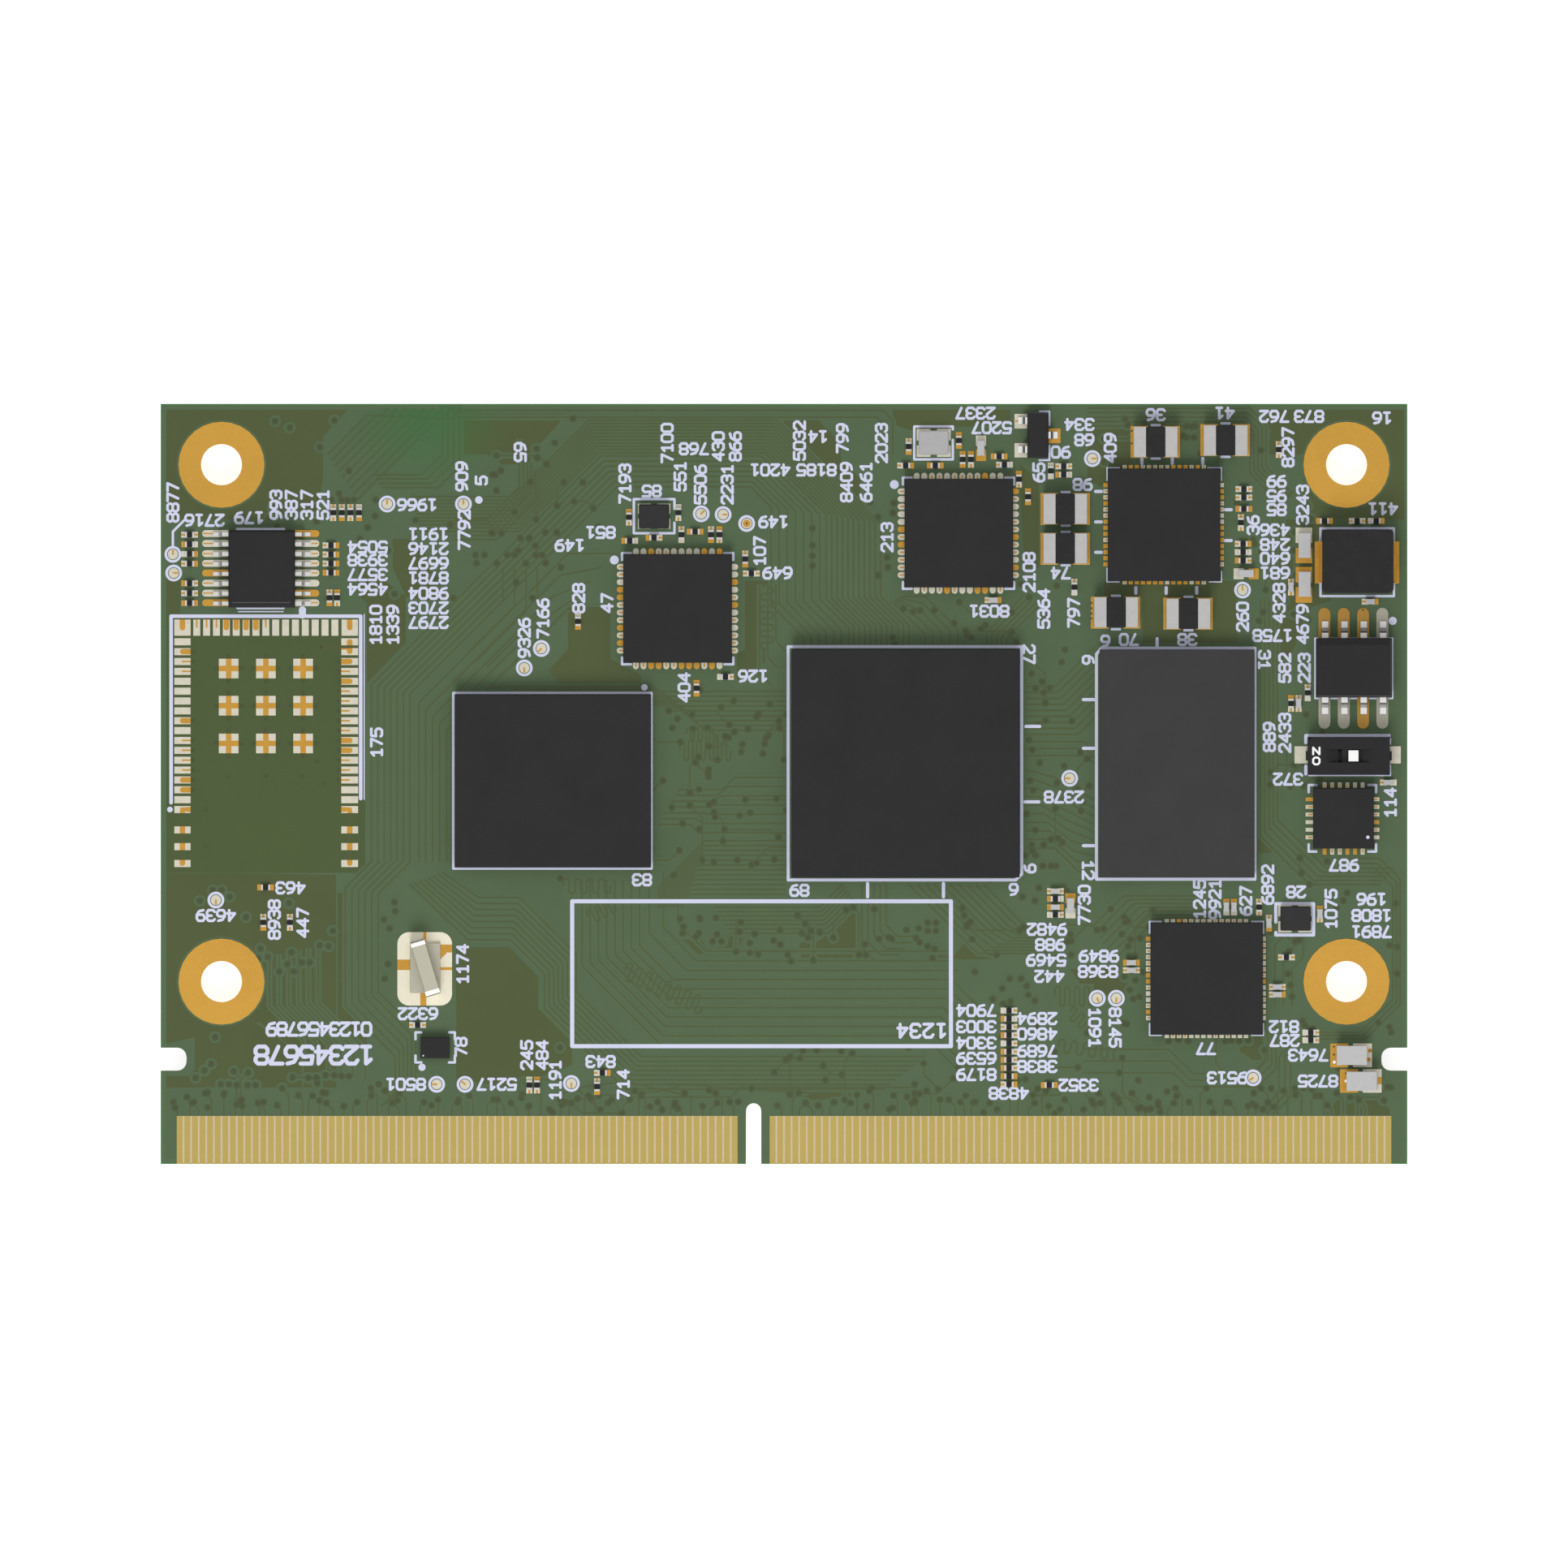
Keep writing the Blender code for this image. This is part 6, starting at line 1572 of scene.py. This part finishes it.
figureStrokes = {
    "0": [[(0, .2), (.2, 0), (.8, 0), (1, .2), (1, .8), (.8, 1), (.2, 1), (0, .8), (0, .2)]],
    "1": [[(.15, .75), (.55, 1), (.55, 0)], [(.2, 0), (.9, 0)]],
    "2": [[(0, .8), (.2, 1), (.8, 1), (1, .8), (1, .6), (0, 0), (1, 0)]],
    "3": [[(0, .85), (.2, 1), (.8, 1), (1, .8), (1, .65), (.8, .52), (.4, .52)],
          [(.8, .52), (1, .38), (1, .2), (.8, 0), (.2, 0), (0, .15)]],
    "4": [[(.75, 0), (.75, 1), (0, .3), (1, .3)]],
    "5": [[(1, 1), (.1, 1), (0, .55), (.75, .6), (1, .42), (1, .2), (.8, 0), (.15, 0), (0, .12)]],
    "6": [[(.85, 1), (.3, .9), (0, .55), (0, .2), (.2, 0), (.8, 0), (1, .2), (1, .4), (.8, .58), (.2, .58), (0, .45)]],
    "7": [[(0, 1), (1, 1), (.35, 0)]],
    "8": [[(.2, .52), (0, .68), (0, .84), (.2, 1), (.8, 1), (1, .84), (1, .68), (.8, .52), (.2, .52), (0, .36), (0, .16),
           (.2, 0), (.8, 0), (1, .16), (1, .36), (.8, .52)]],
    "9": [[(.15, 0), (.7, .1), (1, .45), (1, .8), (.8, 1), (.2, 1), (0, .8), (0, .6), (.2, .42), (.8, .42), (1, .55)]],
    "O": [[(0, .25), (.25, 0), (.75, 0), (1, .25), (1, .75), (.75, 1), (.25, 1), (0, .75), (0, .25)]],
    "N": [[(0, 0), (0, 1), (1, 0), (1, 1)]],
}
# Where running numbers stand: place on the photo and how many figures, by the way that they read
numbersUp = [
    (213, 619, 4), (340, 622, 3), (359, 622, 3), (378, 622, 3), (398, 622, 3), (569, 587, 3), (572, 653, 4), (463, 770, 4),
    (484, 770, 4), (464, 915, 3), (338, 1133, 4), (373, 1137, 3), (570, 1188, 4), (568, 1290, 2), (649, 1300, 3),
    (668, 1300, 3), (684, 1331, 4), (768, 1336, 3), (822, 546, 4), (885, 550, 3), (906, 550, 3), (770, 596, 4), (838, 587, 3),
    (863, 597, 4), (896, 597, 4), (936, 679, 3), (713, 737, 3), (748, 743, 2), (646, 786, 4), (669, 762, 4), (843, 847, 3),
    (985, 543, 4), (1038, 540, 3), (1086, 546, 4), (1043, 594, 4), (1067, 594, 4), (1093, 662, 3), (1368, 552, 3),
    (1280, 582, 2), (1587, 551, 4), (1544, 647, 2), (1605, 622, 4), (1576, 743, 4), (1605, 769, 4), (1531, 760, 3),
    (1268, 705, 4), (1286, 750, 4), (1323, 755, 3), (1583, 823, 3), (1607, 823, 3), (1564, 908, 3), (1583, 903, 4),
    (1713, 989, 3), (1336, 1115, 4), (1478, 1108, 4), (1497, 1108, 4), (1535, 1110, 3), (1562, 1090, 4), (1640, 1120, 4),
    (593, 592, 1),
]
numbersDown = [
    (1349, 1266, 4), (1374, 1266, 4), (1558, 813, 2), (1268, 806, 2), (1269, 1070, 1), (1341, 813, 1), (1341, 1072, 2),
    (641, 557, 2),
]
numbersTurned = [
    (252, 641, 4), (307, 638, 3), (514, 622, 4), *[(528, y, 4) for y in (658, 676, 694, 712, 731, 749, 767)],
    *[(453, y, 4) for y in (674, 690, 708, 726)], (358, 1094, 3), (266, 1128, 4), (515, 1249, 4), (500, 1336, 4),
    (612, 1336, 4), (740, 1308, 3), (855, 553, 3), (803, 605, 2), (740, 656, 3), (702, 672, 3), (953, 643, 3),
    (958, 706, 3), (928, 833, 3), (791, 1084, 2), (1008, 538, 2), (949, 579, 4), (1006, 579, 4), (1202, 509, 4),
    (1222, 527, 4), (1307, 557, 2), (1330, 523, 3), (1336, 542, 2), (1334, 597, 2), (1424, 511, 2), (1509, 509, 2),
    (1570, 513, 3), (1613, 513, 3), (1703, 515, 2), *[(1573, y, 2) for y in (593, 611, 628)], (1704, 627, 3),
    *[(1571, y, 3) for y in (653, 671, 688, 706)], (1568, 783, 4), (1307, 706, 2), (1219, 753, 4), (1391, 788, 2),
    (1463, 788, 2), (1362, 790, 1), (1587, 960, 3), (1656, 1066, 3), (985, 1097, 2), (1311, 982, 4), (1290, 1145, 4),
    (1294, 1164, 3), (1289, 1183, 4), (1293, 1203, 3), (1354, 1178, 4), (1353, 1197, 4), (1597, 1099, 2), (1690, 1108, 3),
    (1690, 1128, 4), (1690, 1148, 4), (1582, 1265, 3), (1583, 1282, 3), (1612, 1300, 4), (1624, 1332, 4), (1486, 1292, 2),
    (1512, 1328, 4), *[(1203, y, 4) for y in (1245, 1265, 1285, 1304, 1324)], *[(1278, y, 4) for y in (1255, 1274, 1295, 1314)],
    (1243, 1347, 4), (1329, 1337, 4), (1249, 1096, 1),
]
# Larger counting figures: place, figures, height, pitch and stroke
countingFigures = [(393, 1268, "0123456789", 19, 13.0, 3.8), (387, 1300, "12345678", 26, 18.5, 5), (1136, 1270, "1234", 20, 16.0, 3.8)]


def bars(points, lines, ends):
    # A stroke as one bar a segment, with a disc at each corner, each a hair above the last
    for first, last in zip(points, points[1:]):
        hair = Vector((0, 0, len(lines) % 12 * 0.0001 * mm))
        lines.append([first + hair, last + hair])
    for point in points:
        ends.append([point + Vector((0, 0, (0.0014 + len(ends) % 12 * 0.0001) * mm))])


def figureLines(text, place, turn, height, pitch, stroke, parts):
    lines, ends = parts.setdefault(stroke, ([], []))
    wide = inkLook["width"] * height / inkLook["height"]
    spin = Matrix.Rotation(turn, 3, "Z")
    middle = fromPhoto(*place, boardTop + inkLook["rise"] - inkLook["sunk"] / 2)
    for number, figure in enumerate(text):
        shift = (number - (len(text) - 1) / 2) * pitch
        for line in figureStrokes[figure]:
            flat = [Vector(((across - 0.5) * wide + shift, (up - 0.5) * (height - stroke), 0)) * px for across, up in line]
            bars([middle + spin @ point for point in flat], lines, ends)


def makeFigures():
    dice = random.Random(inkLook["seed"])
    parts, runs = {}, []
    for group, turn in ((numbersUp, math.pi / 2), (numbersDown, -math.pi / 2), (numbersTurned, math.pi)):
        for x, y, count in group:
            text = dice.choice("123456789") + "".join(dice.choice("0123456789") for _ in range(count - 1))
            figureLines(text, (x, y), turn, inkLook["height"], inkLook["pitch"], inkLook["stroke"], parts)
    for x, y, text, height, pitch, stroke in countingFigures:
        figureLines(text, (x, y), math.pi, height, pitch, stroke, parts)
    for stroke, (lines, ends) in sorted(parts.items()):
        runs.append(runTree(stripTree, "figureStrokes", linesMesh("figures", lines), "ink",
                            Width=stroke * px, Thickness=inkLook["sunk"], Bend=0.0))
        runs.append(runTree(discTree, "figureTips", linesMesh("tips", ends), "ink",
                            Diameter=stroke * px, Thickness=inkLook["sunk"], Sides=8))
    keepPiece(joinPieces("printedFigures", runs), slot="solder_mask")
    print("figures done")


def makeInk():
    level = boardTop + inkLook["rise"] - inkLook["sunk"] / 2
    runs = []
    for width in sorted({line[0] for line in inkLines}):
        lines, ends = [], []
        for own, points in inkLines:
            if own == width:
                bars([fromPhoto(x, y, level) for x, y in points], lines, ends)
        runs.append(runTree(stripTree, "inkLines", linesMesh("ink", lines), "ink", Width=width * px,
                            Thickness=inkLook["sunk"], Bend=0.0))
        runs.append(runTree(discTree, "inkEnds", linesMesh("ends", ends), "ink", Diameter=width * px,
                            Thickness=inkLook["sunk"], Sides=16))
    for x, y, radius in inkDots:
        runs.append(runTree(discTree, "inkDot", linesMesh("dot", [[fromPhoto(x, y, level + 0.003 * mm)]]), "ink",
                            Diameter=2 * radius * px, Thickness=inkLook["sunk"], Sides=24))
    for node, x, y, radius in bodyDots:
        place = fromPhoto(x, y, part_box(node)[1].z - 0.005 * mm)
        runs.append(runTree(discTree, "bodyDot", linesMesh("dot", [[place]]), "ink",
                            Diameter=2 * radius * px, Thickness=0.014 * mm, Sides=16))
    points = [[fromPhoto(x, y, level)] for x, y, _ in testPoints]
    runs.append(runTree(ringTree, "rings", linesMesh("rings", points), "ink", Diameter=testPointLook["ring"] * px,
                        Line=testPointLook["line"] * px, Thickness=inkLook["sunk"]))
    keepPiece(joinPieces("printedLines", runs), slot="solder_mask")

    padLevel = boardTop + padLook["rise"] - 0.02 * mm
    points = [[fromPhoto(x, y, padLevel)] for x, y, _ in testPoints]
    lands = runTree(discTree, "lands", linesMesh("lands", points), "solder", Diameter=testPointLook["dot"] * px,
                    Thickness=0.04 * mm, Sides=20)
    keepPiece(lands, slot="gold_plate")
    reach, stubs = testPointLook["reach"], []
    for x, y, degrees in testPoints:
        if degrees is not None:
            turn = math.radians(degrees)
            stubs.append([(x, y), (x + reach * math.cos(turn), y - reach * math.sin(turn))])
    runs = addGoldBars("testPointPlating", stubs, testPointLook["stub"], [line[0] for line in stubs])
    level = boardTop + padLook["goldRise"] - padLook["sunk"] / 2
    points = [[fromPhoto(x, y, level)] for x, y, degrees in testPoints if degrees is None]
    runs.append(runTree(discTree, "roundPlating", linesMesh("roundPlating", points), "gold",
                        Diameter=testPointLook["round"] * px, Thickness=padLook["sunk"], Sides=20))
    keepPiece(joinPieces("testPointPlating", runs), slot="gold_plate")


makeFigures()
makeInk()


# The word on the switch
def makeSwitchWord():
    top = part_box("switch_cover")[1].z
    level = top - 0.003 * mm
    lines, ends = [], []
    for figure, x, y, wide, tall in (("N", 1621.9, 925.3, 7.8, 8.2), ("O", 1621.9, 937.6, 7.8, 8.3)):
        for stroke in figureStrokes[figure]:
            points = [fromPhoto(x + (across - 0.5) * wide, y + (0.5 - up) * tall, level) for across, up in stroke]
            bars(points, lines, ends)
    strokes = runTree(stripTree, "wordStrokes", linesMesh("word", lines), "whitePlastic", Width=2.4 * px,
                      Thickness=0.012 * mm, Bend=0.0)
    tips = runTree(discTree, "wordTips", linesMesh("tips", ends), "whitePlastic", Diameter=2.4 * px,
                   Thickness=0.012 * mm, Sides=10)
    keepPiece(joinPieces("switchWord", [strokes, tips]), slot="white_plastic")


makeSwitchWord()


# Solder balls under the grid packages
ballLook = {"diameter": 0.34 * mm, "height": 0.28 * mm, "rows": 3}
ballGrids = {"processor": (29, 29, 0.5), "memory": (12, 22, 0.65), "flash_storage": (24, 21, 0.5)}


def makeBalls():
    places = []
    for node, (columns, rows, pitch) in ballGrids.items():
        low, high, middle, size = boxOf(node)
        for i in range(columns):
            for j in range(rows):
                if min(i, j, columns - 1 - i, rows - 1 - j) < ballLook["rows"]:
                    x = middle.x + (i - (columns - 1) / 2) * pitch * mm
                    y = middle.y + (j - (rows - 1) / 2) * pitch * mm
                    places.append(((x, y, boardTop + ballLook["height"] / 2), 0.0, 1.0, 1.0))
    made = runTree(ballTree, "solderBalls", pointsMesh("balls", places), "ball",
                   Diameter=ballLook["diameter"], Squash=ballLook["height"] / ballLook["diameter"])
    keepPiece(made, slot="tinned_metal")
    print("solder balls:", len(places))


makeBalls()


# The underside
def makeUnderside():
    look = trackLook
    dice = random.Random(look["seed"] + 5)
    flats = cadFlats(-0.01 * mm, 0.1 * mm)
    bodies, ends, pads = [], [], []
    for x, y, sizeX, sizeY, height in flats:
        bodies.append((Vector((x, y, -0.001 * mm)), 0.0, 1.0, 1.0))
        for side in (-1, 1):
            ends.append((Vector((x + side * (sizeX / 2 - 0.1 * mm), y, -0.002 * mm)), 0.0, 1.0, 1.0))
            pads.append((Vector((x + side * (sizeX / 2 + 0.02 * mm), y, boardUnder - 0.024 * mm)), 0.0, 1.0, 1.0))
    addBlocks("undersideBodies", bodies, "underCeramic", 0.82 * mm, 0.506 * mm, boardUnder + 0.01 * mm, slot="capacitor_ceramic")
    addBlocks("undersideEnds", ends, "chipEnd", 0.21 * mm, 0.512 * mm, boardUnder + 0.01 * mm, slot="tinned_metal")
    addBlocks("undersidePads", pads, "solder", 0.42 * mm, 0.56 * mm, 0.04 * mm, slot="gold_plate")

    loose, looseEnds = looseTracks()
    fromFingers, fingerEnds = fingerTracks()
    crossing = []
    for number in range(160):
        left, top, right, bottom = dice.choice(looseFields)
        x, y = dice.uniform(left, right), dice.uniform(top, bottom)
        slant, run = dice.choice((-1, 1)) * dice.uniform(10, 50), dice.choice((-1, 1)) * dice.uniform(20, 160)
        end = (x + slant, y + abs(slant) * (1 if run > 0 else -1) + run)
        if isClear(*end) and isClear(x, y) and isClear(x, y + run):
            crossing.append([(x, y), (x, y + run), end])
    for name, finish, width, rise in (("underBands", "bareMask", look["clearance"] * px, look["bareRise"]),
                                      ("underTracks", "trackMask", look["width"], look["trackRise"])):
        height = boardUnder - rise + look["sunk"] / 2
        lines = levelled(crossing + fromFingers, height, -1, width / px)
        addStrips(name, lines, finish, width, look["sunk"], look["bend"], slot="solder_mask")
    vias = offSlot(exactVias + looseEnds + fingerEnds)
    for name, finish, diameter, rise, sides in (("underViaPads", "viaRing", 9.0 * px, look["viaRise"], 14),
                                                ("underViaHoles", "viaMask", 5.5 * px, look["viaRise"] + 0.002 * mm, 10)):
        height = boardUnder - rise + look["sunk"] / 2
        mesh = linesMesh(name, levelled([[via] for via in vias], height, -1, diameter / px))
        made = runTree(discTree, name, mesh, finish, Diameter=diameter, Thickness=look["sunk"], Sides=sides)
        keepPiece(made, slot="solder_mask")
    print("underside:", len(flats), "capacitors")


makeUnderside()


# Floor, light and camera
studio = {
    "floorRadius": 0.11, "cameraHeight": 0.3, "worldShare": 0.567, "keyPower": 1.42, "keySize": 0.25,
    "keyPlace": Vector((-0.03, -0.34, 0.36)), "floorColour": 0.9, "floorGlow": 0.75,
}


def makeFloor():
    bm = bmesh.new()
    bmesh.ops.create_circle(bm, cap_ends=True, segments=96, radius=studio["floorRadius"])
    bmesh.ops.translate(bm, verts=bm.verts, vec=(0, 0, -0.004 * mm))
    mesh = bpy.data.meshes.new("floor")
    bm.to_mesh(mesh)
    bm.free()
    floor = addObject("floor", mesh)
    material = bpy.data.materials.new("paleFloor")
    material.use_nodes = True
    graph = Graph(material.node_tree)
    shader = material.node_tree.nodes["Principled BSDF"]
    tone = studio["floorColour"]
    shader.inputs["Base Color"].default_value = (tone, tone, tone, 1)
    shader.inputs["Roughness"].default_value = 0.9
    shader.inputs["Specular IOR Level"].default_value = 0.1
    shader.inputs["Emission Strength"].default_value = 1.0
    rays = graph.node("ShaderNodeLightPath")
    seen = rays.atLeast(rays.out("Is Glossy Ray")).atLeast(rays.out("Is Transmission Ray"))
    glow = studio["floorGlow"]
    lit = mixColours(graph, seen, (0, 0, 0, 1), (glow, glow, glow, 1))
    graph.tree.links.new(lit.socket, shader.inputs["Emission Color"])
    mesh.materials.append(material)


def makeLight():
    world = bpy.data.worlds.new("paleRoom")
    bpy.context.scene.world = world
    world.use_nodes = True
    graph = Graph(world.node_tree)
    back = world.node_tree.nodes["Background"]
    rays = graph.node("ShaderNodeLightPath")
    seen = rays.atLeast(rays.out("Is Glossy Ray")).atLeast(rays.out("Is Transmission Ray"))
    share = studio["worldShare"]
    back.inputs["Color"].default_value = (1, 1, 1, 1)
    graph.tree.links.new((seen * (1 - share) + share).socket, back.inputs["Strength"])
    lamp = bpy.data.lights.new("key", "AREA")
    lamp.shape = "DISK"
    lamp.size = studio["keySize"]
    lamp.energy = studio["keyPower"]
    made = bpy.data.objects.new("key", lamp)
    collection.objects.link(made)
    made.location = studio["keyPlace"]
    made.rotation_euler = (-studio["keyPlace"]).to_track_quat("-Z", "Y").to_euler()


def makeCamera():
    camera = bpy.data.cameras.new("camera")
    camera.type = "ORTHO"
    camera.ortho_scale = photo["size"] * px
    camera.clip_start, camera.clip_end = 0.01, 2.0
    made = bpy.data.objects.new("camera", camera)
    collection.objects.link(made)
    made.location = (0, 0, studio["cameraHeight"])
    bpy.context.scene.camera = made


makeFloor()
makeLight()
makeCamera()
bpy.context.scene.view_settings.view_transform = "Standard"
print("studio ready")
